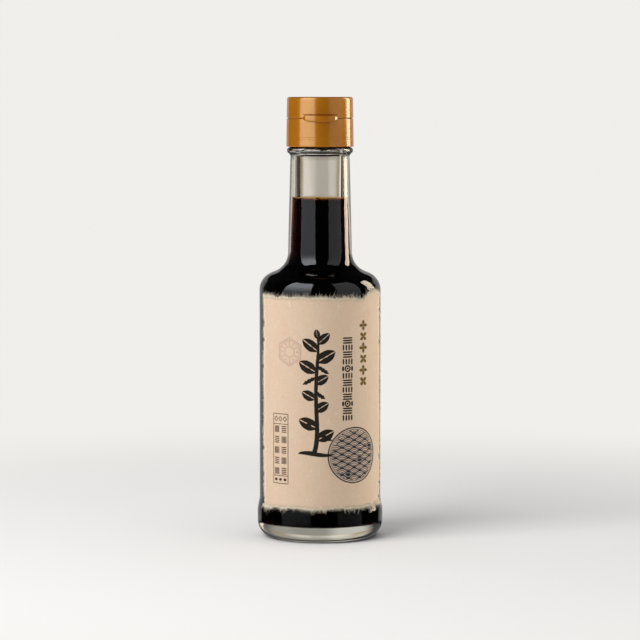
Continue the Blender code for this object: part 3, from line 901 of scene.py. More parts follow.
@dataclass
class PaperLabel:
    """The label: torn fibrous paper on the glass, laid out flat as (across, height) in millimetres."""

    left: float = -30.2
    right: float = 34.9
    paper: float = 0.22
    off_glass: float = 0.04
    columns: int = 250
    rows: int = 190
    fibre_count: int = 9000
    seed: int = 11

    def wrap(self, flat: Array, lift: Array | float) -> Array:
        """Lays flat places on the glass: angle is across / body radius, radius is the glass's plus lift."""
        across, z = flat[..., 0], flat[..., 1]
        return round_about(FORM.outer_radius(z) + lift, across / FORM.body_radius, z)

    def shares(self) -> tuple[Array, Array]:
        """Shares from 0 to 1 along the width and the height, closer together near both ends."""
        even = (np.linspace(0.0, 1.0, count) for count in (self.columns, self.rows))
        return tuple(t - 0.62 * np.sin(FULL_TURN * t) / FULL_TURN for t in even)

    def torn_edges(self) -> tuple[Array, ...]:
        """Outline rows: left and right edges along the height, foot and top edges along the width.

        Each is the straight edge plus rough noise. The top right corner is drawn up into a tuft.
        """
        rng = np.random.default_rng(self.seed)
        u, v = self.shares()
        left = self.left + self.ragged(rng)
        right = self.right - self.ragged(rng)
        foot = LABEL_FOOT - 0.35 + 0.6 * u + 0.34 * rough_noise(self.columns, 20.0, rng, 5)
        top = LABEL_TOP + 0.65 - 1.1 * u + 0.34 * rough_noise(self.columns, 20.0, rng, 5)
        top = top + 3.0 * smoothstep(0.765, 0.855, u) * (1.0 - 0.6 * smoothstep(0.92, 1.0, u))
        foot = foot - 1.2 * np.exp(-(((u - 0.875) / 0.018) ** 2))
        left = left + 0.9 * smoothstep(0.08, 0.0, v) + 0.5 * smoothstep(0.95, 1.0, v)
        right = right - 0.9 * smoothstep(0.05, 0.0, v)
        return left, right, foot, top

    def ragged(self, rng: Random) -> Array:
        """Raggedness of a side: rough noise, with small bites where another noise is high."""
        bites = np.maximum(0.0, rough_noise(self.rows, 26.0, rng, 3) - 0.45)
        return 0.42 * rough_noise(self.rows, 16.0, rng, 5) + 2.5 * bites

    def build(self) -> list[Piece]:
        """Builds the sheet, thinner and white towards its torn edge, and its loose fibres."""
        left, right, foot, top = self.torn_edges()
        u, v = self.shares()
        u, v = u[None, :], v[:, None]
        across = left[:, None] * (1.0 - u) + right[:, None] * u
        height = foot[None, :] * (1.0 - v) + top[None, :] * v
        to_side = np.minimum(across - left[:, None], right[:, None] - across) * 0.34
        inwards = np.minimum(to_side, np.minimum(height - foot[None, :], top[None, :] - height))
        flat = np.stack([across, height], axis=-1)
        thickness = self.paper * (0.25 + 0.75 * smoothstep(0.0, 1.1, inwards))
        skin = sheet(self.wrap(flat, self.off_glass + thickness), self.wrap(flat, self.off_glass))
        piece = make_object("label_sheet", skin, FibrousPaper("fibrous paper"), sharp=60.0)
        rim = np.tile(1.0 - smoothstep(0.12, 0.95, inwards).ravel(), 2).astype(np.float32)
        piece.data.attributes.new("rim", "FLOAT", "POINT").data.foreach_set("value", rim)
        corners = np.zeros(len(piece.data.loops), np.int32)
        piece.data.loops.foreach_get("vertex_index", corners)
        places = np.tile(flat.reshape(-1, 2), (2, 1))[corners].astype(np.float32)
        piece.data.uv_layers.new(name="flat").data.foreach_set("uv", places.ravel())
        fibres = make_object("label_fibres", self.fibres(), PAPER_FIBRE, sharp=None)
        return [settle(piece, Body.BOTTLE, Slot.PAPER, "paper_label"),
                settle(fibres, Body.BOTTLE, Slot.PAPER)]

    def fibres(self) -> Surface:
        """Loose fibres at the torn edges.

        A fibre is a three-sided spike along p(t) = root + t L d + t^2 bend, thinning as 1 - t.
        Most stand out from the edge and some lie back over the paper.
        """
        rng = np.random.default_rng(self.seed + 1)
        left, right, foot, top = self.torn_edges()
        u, v = self.shares()
        count = self.fibre_count
        side = rng.choice(4, count, p=[0.15, 0.15, 0.35, 0.35])
        along = rng.uniform(0.0, 1.0, count)
        z_along = LABEL_FOOT + along * (LABEL_TOP - LABEL_FOOT)
        x_along = self.left + along * (self.right - self.left)
        roots_x = np.choose(side, [np.interp(along, v, left), np.interp(along, v, right), x_along, x_along])
        roots_z = np.choose(side, [z_along, z_along, np.interp(along, u, foot), np.interp(along, u, top)])
        out_angle = np.choose(side, [np.pi, 0.0, -np.pi / 2.0, np.pi / 2.0]) + rng.normal(0.0, 0.85, count)
        length = np.minimum(rng.gamma(2.6, 0.36, count), 2.4) * np.where(side < 2, 0.75, 1.0)
        direction = np.column_stack([np.cos(out_angle), np.sin(out_angle)])
        bend = rng.normal(0.0, 0.28, (count, 2)) * length[:, None]
        t = np.linspace(0.0, 1.0, 4)
        root = np.column_stack([roots_x, roots_z]) - direction * rng.uniform(0.0, 0.9, count)[:, None]
        path = root[:, None] + direction[:, None] * (t[None, :, None] * length[:, None, None])
        path = path + bend[:, None] * t[None, :, None] ** 2
        loose = rng.uniform(0.0, 0.22, count)[:, None] * (1.0 - 0.7 * t)[None, :]
        lift = self.off_glass + self.paper * 0.8 + loose
        half = rng.uniform(0.05, 0.12, count)[:, None] * (1.0 - 0.85 * t)[None, :]
        beside = np.stack([-direction[:, 1], direction[:, 0]], axis=-1)[:, None] * half[..., None]
        corners = np.stack([self.wrap(path + beside, lift), self.wrap(path - beside, lift),
                            self.wrap(path, lift + half * 1.2)], axis=2)
        number = np.arange(corners[..., 0].size).reshape(corners.shape[:3])
        after = np.roll(number, -1, axis=2)
        quads = np.stack([number[:, :-1], after[:, :-1], after[:, 1:], number[:, 1:]], axis=-1).reshape(-1, 4)
        ends = np.concatenate([number[:, 0, ::-1], number[:, -1]])
        return Surface(corners.reshape(-1, 3), [quads, ends]).outward()


class Ink(Enum):
    """The label's printing inks."""

    BLACK = PrintInk("black ink", (0.013, 0.010, 0.006), (0.10, 0.07, 0.05), 0.25)
    SMALL_BLACK = PrintInk("small black ink", (0.014, 0.011, 0.009), (0.12, 0.09, 0.06), 0.25)
    OLIVE = PrintInk("olive ink", (0.150, 0.088, 0.010), (0.36, 0.24, 0.08), 0.45)
    PINK = PrintInk("faded pink ink", (0.560, 0.375, 0.290), (0.70, 0.52, 0.39), 0.8)
    BROWN = PrintInk("brown ink", (0.055, 0.030, 0.020), (0.20, 0.13, 0.09), 0.40)
    INDIGO = PrintInk("indigo ink", (0.020, 0.026, 0.044), (0.20, 0.18, 0.17), 0.45)
    TEAL = PrintInk("teal ink", (0.016, 0.075, 0.095), (0.26, 0.28, 0.25), 0.6)


@dataclass
class Stroke:
    """One inked line on the label: a path of (across, height) with a half-width at each point."""

    path: Array
    half: Array

    def surface(self, label: PaperLabel, rng: Random, rag: float, rank: int) -> Surface:
        """Slab with slightly ragged sides, a hair thick, that follows the paper.

        Point (i, j) is path_i + n_i half_i s_j, where s_j runs from -1 to 1 and n is the path's left side.
        """
        step = np.gradient(self.path, axis=0)
        length = np.maximum(np.linalg.norm(step, axis=1), 1e-9)[:, None]
        normal = np.column_stack([-step[:, 1], step[:, 0]]) / length
        share = np.minimum(1.0, self.half / 0.25)[:, None]
        jitter = rag * rng.uniform(-1.0, 1.0, (len(self.path), 2)) * share
        lower, upper = -(self.half + jitter[:, 0]), self.half + jitter[:, 1]
        reach = lower[:, None] + (upper - lower)[:, None] * np.array([0.0, 0.5, 1.0])[None, :]
        flat = self.path[:, None, :] + normal[:, None, :] * reach[..., None]
        base = label.off_glass + label.paper
        return sheet(label.wrap(flat, base + INK_RISE + INK_LAYER * rank), label.wrap(flat, base - INK_SINK))


Widths = float | list[float]


def heading(angle: float) -> Array:
    """Unit step at an angle in degrees."""
    return np.array([math.cos(math.radians(angle)), math.sin(math.radians(angle))])


def inked(path: Array, share: Array, width: Widths, taper: float) -> Stroke:
    """Stroke that takes its widths in turn and thins as a quarter circle over a share at both ends."""
    widths = np.atleast_1d(np.array(width, float))
    half = np.interp(share, np.linspace(0.0, 1.0, len(widths)), widths) / 2.0
    if taper > 0.0:
        near_end = np.clip(np.minimum(share, 1.0 - share) / taper, 0.0, 1.0)
        half = half * np.sqrt(1.0 - (1.0 - near_end) ** 2)
    return Stroke(path, np.maximum(half, THINNEST))


def line(points: list[Pair], width: Widths, taper: float = 0.0) -> Stroke:
    """Stroke along straight stretches."""
    path = divided(np.array(points, float), 0.45)
    run = np.concatenate([[0.0], np.cumsum(np.linalg.norm(np.diff(path, axis=0), axis=1))])
    return inked(path, run / run[-1], width, taper)


def curve(points: list[Pair], width: Widths, steps: int, taper: float = 0.12) -> Stroke:
    """Brush stroke along a Bezier curve through control points."""
    t = np.linspace(0.0, 1.0, steps + 1)
    degree = len(points) - 1
    weights = np.stack([math.comb(degree, k) * t**k * (1.0 - t) ** (degree - k)
                        for k in range(degree + 1)], axis=1)
    return inked(weights @ np.array(points, float), t, width, taper)


def ring_stroke(centre: Pair, radius: float, start: float, end: float, width: Widths) -> Stroke:
    """Stroke along a circle's arc."""
    steps = max(6, int(abs(end - start) * radius / 26.0))
    return inked(arc(centre, radius, start, end, steps), np.linspace(0.0, 1.0, steps + 1), width, 0.0)


def blob(centre: Pair, long: float, short: float, angle: float = 0.0, power: float = 2.0) -> Stroke:
    """Filled oval: its half-width is short/2 (1 - |s|^power)^(1/2) along its length."""
    s = np.linspace(-1.0, 1.0, 19)
    path = np.array(centre)[None, :] + heading(angle)[None, :] * s[:, None] * long / 2.0
    half = short / 2.0 * np.sqrt(np.maximum(0.0, 1.0 - np.abs(s) ** power))
    return Stroke(path, np.maximum(half, THINNEST))


def bars(x: float, z: float, upright: bool, offsets: tuple[float, ...], half: float, width: float,
         taper: float = 0.0) -> list[Stroke]:
    """Parallel bars round a point, upright or lying.

    Args:
        x: across, of the point.
        z: height of the point.
        upright: whether they stand.
        offsets: how far each is from the point.
        half: half of their length.
        width: their width.
        taper: share over which their ends thin.

    Returns:
        One stroke a bar.
    """
    if upright:
        return [line([(x + away, z - half), (x + away, z + half)], width, taper) for away in offsets]
    return [line([(x - half, z + away), (x + half, z + away)], width, taper) for away in offsets]


@dataclass
class LabelPrint:
    """Generic ornaments where the label is printed: plants, waves, plain marks, a frame and a roundel."""

    label: PaperLabel
    column_x: float = -1.2
    small_x: float = 12.0
    small_ends: Pair = (52.2, 88.0)
    small_count: int = 12
    olive_x: float = 20.1
    olive_ends: Pair = (66.4, 95.0)
    olive_count: int = 6
    seal_centre: Pair = (-13.4, 81.6)
    seal_radius: float = 6.0
    frame_across: Pair = (-22.0, -14.1)
    frame_ends: Pair = (25.3, 55.0)
    roundel_centre: Pair = (15.2, 37.6)
    roundel_radius: float = 12.0
    fan: float = 2.9
    fan_pitch: float = 1.45
    seed: int = 21

    @staticmethod
    def leaf(base: Pair, angle: float, long: float, broad: float) -> list[Stroke]:
        """Leaf of two brushed halves, with the paper between them as its midrib."""
        along = heading(angle)
        beside = np.array([-along[1], along[0]]) * broad
        halves = []
        for turn in (-1.0, 1.0):
            control = [np.array(base) + along * long * reach + beside * turn * off
                       for reach, off in ((0.0, 0.03), (0.32, 0.40), (0.72, 0.33), (1.0, 0.03))]
            halves.append(curve(control, [0.35, 0.50 * broad, 0.44 * broad, 0.22], 24, 0.08))
        return halves

    @staticmethod
    def pod(base: Pair, angle: float, long: float) -> Stroke:
        """Hanging pod whose width swells round each of its beans."""
        ends = [np.array(base) + heading(angle) * long * s - [0.0, 1.1 * s * (1.0 - s)]
                for s in (0.0, 0.5, 1.0)]
        return curve(ends, [0.5, 0.7, 1.8, 1.2, 2.0, 1.2, 1.8, 0.8, 0.3], 36, 0.03)

    def plant(self) -> list[Stroke]:
        """Tall soybean plant in brush strokes: stem, leaves left and right in turn, pods, ground line."""
        x = self.column_x
        stem = [(x - 1.4, 38.4), (x + 2.8, 50.0), (x - 4.2, 64.0), (x + 1.8, 77.0), (x + 0.2, 88.6)]
        strokes = [curve(stem, [2.0, 1.8, 1.6, 1.4, 0.8], 60, 0.02)]
        for across, height, *leaf in (
                (0.0, 44.5, 28.0, 8.0, 4.6), (0.0, 49.5, 155.0, 8.6, 4.8), (-0.7, 56.8, 32.0, 6.4, 4.0),
                (-1.0, 61.8, 150.0, 6.2, 4.0), (-0.9, 68.4, 30.0, 6.4, 3.9), (-0.5, 73.2, 148.0, 8.4, 4.8),
                (0.0, 77.6, 30.0, 8.8, 5.0), (0.2, 82.2, 142.0, 8.0, 4.4), (0.3, 85.2, 42.0, 6.6, 3.6),
                (0.25, 87.4, 100.0, 4.0, 2.5)):
            strokes += self.leaf((x + across, height), *leaf)
        for across, height, *pod in ((0.2, 47.4, -28.0, 7.0), (-0.2, 52.6, -158.0, 6.6),
                                     (-0.9, 65.0, -35.0, 5.2), (-0.6, 71.2, -150.0, 6.4),
                                     (0.0, 76.0, -35.0, 6.0)):
            strokes.append(self.pod((x + across, height), *pod))
        ground = [(x - 8.2, 38.6), (x - 3.0, 40.0), (x + 2.0, 36.8), (x + 7.6, 38.4)]
        return strokes + [curve(ground, [0.9, 2.0, 1.7, 0.5], 40)]

    def small_marks(self) -> list[Stroke]:
        """Column of woven squares: three bars across, four bars up, and now and then a ring."""
        foot, top = self.small_ends
        strokes = []
        for i in range(self.small_count):
            x, z = self.small_x, top - (i + 0.5) * ((top - foot) / self.small_count)
            if i % 5 == 4:
                strokes += [ring_stroke((x, z), 1.15, 0.0, 360.0, 0.6), blob((x, z), 0.9, 0.9)]
                strokes += [blob((x + away, z), 0.9, 2.2) for away in (-2.1, 2.1)]
            elif i % 2 == 0:
                strokes += bars(x, z, False, (1.02, 0.0, -1.02), 2.3, 0.62, 0.06)
            else:
                strokes += bars(x, z, True, (-1.95, -0.65, 0.65, 1.95), 1.3, 0.66, 0.1)
        return strokes

    def olive_marks(self) -> list[Stroke]:
        """Column of small blossoms with four petals and a dot, every other one turned."""
        foot, top = self.olive_ends
        strokes = []
        for i in range(self.olive_count):
            middle = np.array([self.olive_x, top - (i + 0.5) * ((top - foot) / self.olive_count)])
            for petal in range(4):
                angle = (45.0 if i % 2 else 0.0) + 90.0 * petal
                strokes.append(blob(middle + heading(angle) * 1.25, 1.9, 1.35, angle, 1.8))
            strokes.append(blob(middle, 0.7, 0.7))
        return strokes

    def seal(self) -> list[Stroke]:
        """Faded six-sided tortoiseshell ring with two smaller ones, short spokes and dots inside."""
        middle, radius = np.array(self.seal_centre), self.seal_radius
        strokes = [line(arc(self.seal_centre, reach, 30.0, 390.0, 6), width)
                   for reach, width in ((radius, 0.42), (radius * 0.86, 0.25), (radius * 0.42, 0.32))]
        for spoke in range(6):
            way = heading(30.0 + 60.0 * spoke) * radius
            strokes.append(line([middle + way * s for s in (0.46, 0.82)], 0.30))
            strokes.append(blob(middle + heading(60.0 * spoke) * radius * 0.6, 0.9, 0.6, 60.0 * spoke))
        return strokes

    def framed_panel(self) -> list[Stroke]:
        """Thin frame with a head and a foot cell, and two columns of small woven squares between."""
        (left, right), (foot, top) = self.frame_across, self.frame_ends
        head, tail, middle = top - 4.3, foot + 3.3, (left + right) / 2.0
        strokes = [line([(left, top), (right, top), (right, foot), (left, foot), (left, top)], 0.30)]
        strokes += [line([(left, z), (right, z)], 0.26) for z in (head, tail)]
        for i in range(5):
            z = head - 2.2 - i * (head - tail - 4.2) / 4.0
            for j, x in enumerate((middle - 1.9, middle + 1.9)):
                lying = (i + j) % 2 == 1
                offsets, half = ((-1.2, -0.4, 0.4, 1.2), 1.2) if lying else ((-1.0, -0.33, 0.33, 1.0), 1.4)
                strokes += bars(x, z, not lying, offsets, half, 0.40)
        for x in (middle - 2.4, middle, middle + 2.4):
            strokes.append(line([(x, top - 1.1), (x + 0.9, top - 2.15), (x, top - 3.2), (x - 0.9, top - 2.15),
                                 (x, top - 1.1)], 0.30))
            strokes.append(blob((x, foot + 1.65), 1.5, 1.2))
        return strokes

    def roundel(self) -> tuple[list[Stroke], list[Stroke]]:
        """Disc of blue sea waves: rows of fans, each of three arcs, inside a double ring.

        Returns:
            The indigo strokes and the teal ones.
        """
        x0, z0 = self.roundel_centre
        big, fan = self.roundel_radius, self.fan
        indigo = [ring_stroke((x0, z0), big - inset, 0.0, 360.0, width)
                  for inset, width in ((0.25, 0.55), (1.05, 0.24))]
        teal = []
        for row in range(int(2.0 * big / self.fan_pitch) + 2):
            z = z0 + big - row * self.fan_pitch
            for column in range(-6, 7):
                x = x0 + (column + 0.5 * (row % 2)) * fan * 2.0
                for ring, radius in enumerate((fan - 0.12, fan * 0.70, fan * 0.40)):
                    target = teal if ring == 1 and row % 3 == 0 else indigo
                    target += [ring_stroke((x, z), radius, a, b, 0.46 if ring == 0 else 0.34)
                               for a, b in self.fan_arc((x, z), radius)]
                if math.hypot(x - x0, z + 0.4 - z0) < big - 2.0:
                    indigo.append(blob((x, z + 0.42), 1.1, 0.75))
                if (3 * row + column) % 11 == 0 and math.hypot(x - x0, z + 1.6 - z0) < big - 2.6:
                    indigo.append(blob((x, z + 1.75), 2.6, 1.3))
        return indigo, teal

    def fan_arc(self, centre: Pair, radius: float) -> list[Pair]:
        """Stretches of a fan's upper arc that lie inside the disc and outside the two fans below it.

        Returns:
            Pairs of angles in degrees.
        """
        angles = np.arange(0.0, 181.0, 6.0)
        points = arc(centre, radius, 0.0, 180.0, len(angles) - 1)
        shown = np.hypot(*(points - np.array(self.roundel_centre)).T) < self.roundel_radius - 1.3
        for side in (-1.0, 1.0):
            lower = np.array([centre[0] + side * self.fan, centre[1] - self.fan_pitch])
            shown &= np.hypot(*(points - lower).T) > self.fan - 0.02
        changes = np.flatnonzero(np.diff(np.concatenate([[0], shown.astype(int), [0]])))
        return [(float(angles[a]), float(angles[b - 1]))
                for a, b in zip(changes[::2], changes[1::2]) if b - a > 1]

    def build(self) -> list[Piece]:
        """Builds one piece for each ink area."""
        indigo, teal = self.roundel()
        areas = (("print_plant", Ink.BLACK, self.plant(), 0.05),
                 ("print_small_column", Ink.SMALL_BLACK, self.small_marks(), 0.035),
                 ("print_olive_column", Ink.OLIVE, self.olive_marks(), 0.03),
                 ("print_faded_seal", Ink.PINK, self.seal(), 0.04),
                 ("print_panel", Ink.BROWN, self.framed_panel(), 0.03),
                 ("print_roundel", Ink.INDIGO, indigo, 0.03),
                 ("print_roundel_teal", Ink.TEAL, teal, 0.03))
        rng = np.random.default_rng(self.seed)
        made = []
        for name, ink, strokes, rag in areas:
            slabs = [stroke.surface(self.label, rng, rag, rank % 7) for rank, stroke in enumerate(strokes)]
            piece = make_object(name, joined(slabs), ink.value, sharp=50.0)
            made.append(settle(piece, Body.BOTTLE, Slot.PAPER))
        return made


@dataclass
class CapForm:
    """Sizes that both halves of the cap share."""

    seam: float = 179.9
    gap: float = 0.3
    foot_radius: float = 14.44
    top_radius: float = 14.11
    hinge_y: float = 15.4
    lug_half: float = 5.0
    lug_root: float = 13.5
    lug_height: float = 2.4
    lug_slope: float = 1.3
    slit_half: float = 0.2

    def radius(self, z: float) -> float:
        """Radius of the tapering wall at a height."""
        return self.foot_radius + (self.top_radius - self.foot_radius) * (z - CAP_FOOT) / (CAP_TOP - CAP_FOOT)

    def lug(self, side: float) -> Surface:
        """Hinge lug: an eased wedge on the wall behind, its outline carried across the hinge's width."""
        near = self.seam + side * self.slit_half
        far = near + side * self.lug_height
        outline = softened([(self.lug_root, near, 0.0), (self.hinge_y, near, 0.25),
                            (self.hinge_y, far - side * self.lug_slope, 0.7), (self.lug_root, far, 0.0)])
        x = self.lug_half * np.sin(np.linspace(-np.pi / 2.0, np.pi / 2.0, 15))
        narrow = 1.0 - 0.10 * smoothstep(0.90, 1.0, np.abs(x) / self.lug_half)
        middle = outline.mean(axis=0)
        section = middle[None, None, :] + (outline - middle)[None] * narrow[:, None, None]
        places = np.broadcast_to(x[:, None, None], (*section.shape[:2], 1))
        return lofted(np.concatenate([places, section], axis=-1))


CAP = CapForm()


@dataclass
class CapBase:
    """Lower half of the cap: skirt with moulding rings, deck, pouring spout, seal and plug."""

    sides: int = 200
    skirt_inner: float = 13.0
    deck_thick: float = 1.35
    spout_inner: float = 7.8
    spout_outer: float = 9.0
    spout_flare: float = 184.6
    lip: float = 0.45
    plug_radius: float = 8.9
    plug_foot: float = 173.5
    score_radius: float = 7.0
    ring_heights: Pair = (171.6, 170.7)
    ring_depth: float = 0.035

    def profile(self) -> Array:
        """Section from the middle of the seal over spout, deck and skirt to the middle underneath."""
        deck, lip, flare, plug = CAP.seam - CAP.gap / 2.0, self.lip, self.spout_flare, self.plug_radius
        under = deck - self.deck_thick
        bore, outer = self.spout_inner, self.spout_outer
        score = [(0.0, deck, 0.0), (self.score_radius - 0.35, deck, 0.1),
                 (self.score_radius, deck - 0.35, 0.1), (self.score_radius + 0.35, deck, 0.1)]
        spout = [(bore, deck, 0.3), (bore, flare, 0.8), (bore + lip, SPOUT_TOP, lip),
                 (outer + lip, SPOUT_TOP, lip), (outer, flare, 0.8), (outer, deck, 0.5)]
        ledge = [(11.6, deck, 0.1), (11.75, deck - 0.3, 0.1), (12.5, deck - 0.3, 0.1), (12.65, deck, 0.1)]
        skirt = [(CAP.radius(deck), deck, 0.25)]
        for z in self.ring_heights:
            skirt += [(CAP.radius(z) - depth, z + up, 0.1)
                      for depth, up in ((0.0, 0.22), (self.ring_depth, 0.0), (0.0, -0.22))]
        below = [(CAP.foot_radius, CAP_FOOT, 0.28), (self.skirt_inner, CAP_FOOT, 0.2),
                 (self.skirt_inner, under, 0.3), (plug, under, 0.3), (plug, self.plug_foot, 0.45),
                 (plug - 0.9, self.plug_foot, 0.45), (plug - 0.9, under, 0.3), (0.0, under, 0.0)]
        return divided(softened(score + spout + ledge + skirt + below), 1.5)

    def build(self) -> Piece:
        """Builds the lower half with its hinge lug."""
        surface = joined([turned(self.profile(), even_angles(self.sides)), CAP.lug(-1.0)])
        piece = make_object("cap_base_shell", surface, GoldPlastic("gold plastic of the base"), sharp=45.0)
        return settle(piece, Body.BOTTLE, Slot.GOLD, "cap_base")


@dataclass
class CapLid:
    """Upper half of the cap: wall with an eased top edge, thumb tab, sealing ring and hinge lug."""

    sides: int = 200
    inner: float = 12.9
    ceiling: float = 187.6
    edge: float = 1.15
    dish: float = 0.22
    rim_inner: float = 11.6
    seal_outer: float = 6.9
    seal_inner: float = 6.1
    seal_foot: float = 186.2
    tab_half_width: float = 8.05
    tab_reach: float = 15.6
    tab_end_reach: float = 15.25
    tab_top: float = 181.05
    tab_foot: float = 178.4
    tab_end_foot: float = 179.8
    groove_depth: float = 0.42
    groove_width: float = 0.22
    groove_rise: float = 0.18
    step_depth: float = 0.27

    def half_angle(self) -> float:
        """Half of the angle that the tab takes up."""
        return math.asin(self.tab_half_width / self.tab_reach)

    def profile(self) -> Array:
        """Section from the middle of the dished top over edge and wall to the middle of the ceiling."""
        rim, top = CAP.seam + CAP.gap / 2.0, CAP_TOP
        outside = [(0.0, top - self.dish, 0.0), (self.rim_inner, top - self.dish, 0.5),
                   (self.rim_inner + 0.55, top, 0.3), (CAP.top_radius, top, self.edge),
                   *((CAP.radius(z), z, 0.0) for z in np.arange(182.6, 180.9, -0.12)),
                   (CAP.radius(rim), rim, 0.2), (13.86, rim, 0.08), (13.80, rim - self.step_depth, 0.06)]
        inside = [(self.inner, rim - self.step_depth, 0.1), (self.inner, self.ceiling, 0.6),
                  (self.seal_outer, self.ceiling, 0.2), (self.seal_outer, self.seal_foot, 0.3),
                  (self.seal_inner, self.seal_foot, 0.15), (self.seal_inner, self.ceiling, 0.2),
                  (0.0, self.ceiling, 0.0)]
        return divided(softened(outside + inside, 7), 1.5)

    def groove(self, profile: Array, angles: Array) -> Array:
        """Radius changes: a groove over the tab, depth exp(-((z - z0) / width)^2), faded at its ends."""
        away = np.abs((angles[None, :] + math.pi) % FULL_TURN - math.pi)
        across = 1.0 - smoothstep(self.half_angle() * 0.93, self.half_angle(), away)
        on_wall = profile[:, :1] > self.inner + 0.5
        above = profile[:, 1:] - self.tab_top - self.groove_rise
        depth = -self.groove_depth * np.exp(-((above / self.groove_width) ** 2))
        return depth * across * on_wall

    def tab(self) -> Surface:
        """Thumb tab: an eased lip over the seam, deepest and furthest out in the middle.

        With s from -1 to 1 across it, its foot falls with 1 - |s|^5, its reach grows with
        (1 - s^2)^(1/2) and its ends are slanted; the section is carried round the cap at angle s times
        the half angle.
        """
        rim = CAP.seam + CAP.gap / 2.0 + 0.15
        root = CAP.radius(self.tab_top) + 0.06
        sections = []
        for s in np.sin(np.linspace(-np.pi / 2.0, np.pi / 2.0, 75)):
            bulge = math.sqrt(max(1.0 - s * s, 0.0))
            bow = self.tab_end_reach + (self.tab_reach - self.tab_end_reach) * bulge
            ending = min((1.0 - abs(s)) / 0.22, 1.0)
            reach = root + (bow - root) * ending
            foot = self.tab_end_foot + (self.tab_foot - self.tab_end_foot) * (1.0 - abs(s) ** 5)
            lip = min(CAP.radius(self.tab_foot) + 0.3, reach - 0.02)
            top, roof = self.tab_top - 0.35 * (1.0 - ending), max(rim, foot + 0.1)
            outline = softened([(13.6, top, 0.0), (reach, top, 0.42), (reach - 0.03, foot, 0.42),
                                (lip, foot, 0.1), (lip, roof, 0.1), (13.7, roof, 0.0)])
            sections.append(round_about(outline[:, 0], np.array(s * self.half_angle()), outline[:, 1]))
        return lofted(np.array(sections))

    def build(self) -> Piece:
        """Builds the lid with its tab and hinge lug."""
        profile, angles = self.profile(), even_angles(self.sides)
        surface = joined([turned(profile, angles, self.groove(profile, angles)), self.tab(), CAP.lug(1.0)])
        piece = make_object("cap_lid_shell", surface, GoldPlastic("gold plastic of the lid"), sharp=45.0)
        return settle(piece, Body.LID, Slot.GOLD, "cap_lid")


@dataclass
class LivingHinge:
    """Thin web of plastic between the two lugs."""

    half_width: float = 4.4
    reach: float = 0.75
    film: float = 0.30
    out: float = 0.12

    def build(self) -> Piece:
        """Strap, thin at the axis and thicker on the lugs: its thickness is film (1 + (z/reach)^2)."""
        z = np.linspace(-self.reach, self.reach, 25)
        thick = self.film * (1.0 + (z / self.reach) ** 2)
        grid_x, grid_z = np.meshgrid(np.linspace(-self.half_width, self.half_width, 17), z)
        outer = CAP.hinge_y + self.out
        front = np.stack([grid_x, np.full_like(grid_x, outer), grid_z + CAP.seam], axis=-1)
        back = front - np.array([0.0, 1.0, 0.0]) * thick[:, None, None]
        piece = make_object("living_hinge", sheet(front, back), GoldPlastic("gold plastic of the hinge"))
        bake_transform(piece)
        return piece


@dataclass
class TearRing:
    """Pull ring on the seal inside the spout, on a short post."""

    radius: float = 5.4
    wire: float = 0.6
    post: float = 0.9

    def build(self) -> Piece:
        """Builds the ring, flattened a little on top, and the post at its back."""
        z, foot = RING_TOP - self.wire, CAP.seam + CAP.gap / 2.0 - 0.32
        section = arc((self.radius, z), self.wire, 0.0, 360.0, 20)[:-1]
        section[:, 1] = np.minimum(section[:, 1], z + self.wire * 0.93)
        outline = softened([(0.0, z, 0.0), (self.post, z, 0.2), (self.post, foot + 0.4, 0.2),
                            (self.post + 0.3, foot, 0.0), (0.0, foot, 0.0)])
        post = turned(outline, even_angles(28))
        post.points = post.points + np.array([0.0, self.radius, 0.0])
        surface = joined([turned(section, even_angles(96), loop=True), post])
        piece = make_object("tear_ring_loop", surface, MILKY_PLASTIC, sharp=60.0)
        return settle(piece, Body.BOTTLE, Slot.NATURAL, "tear_ring")


@dataclass(frozen=True)
class SoftBox:
    """A bright patch of the surroundings, between two azimuths and two elevations in degrees.

    Azimuth 0 is towards the camera and positive ones are to its right.
    """

    left: float
    right: float
    low: float
    high: float
    colour: Triple
    radiance_low: float
    radiance_high: float
    blur: float = 1.5


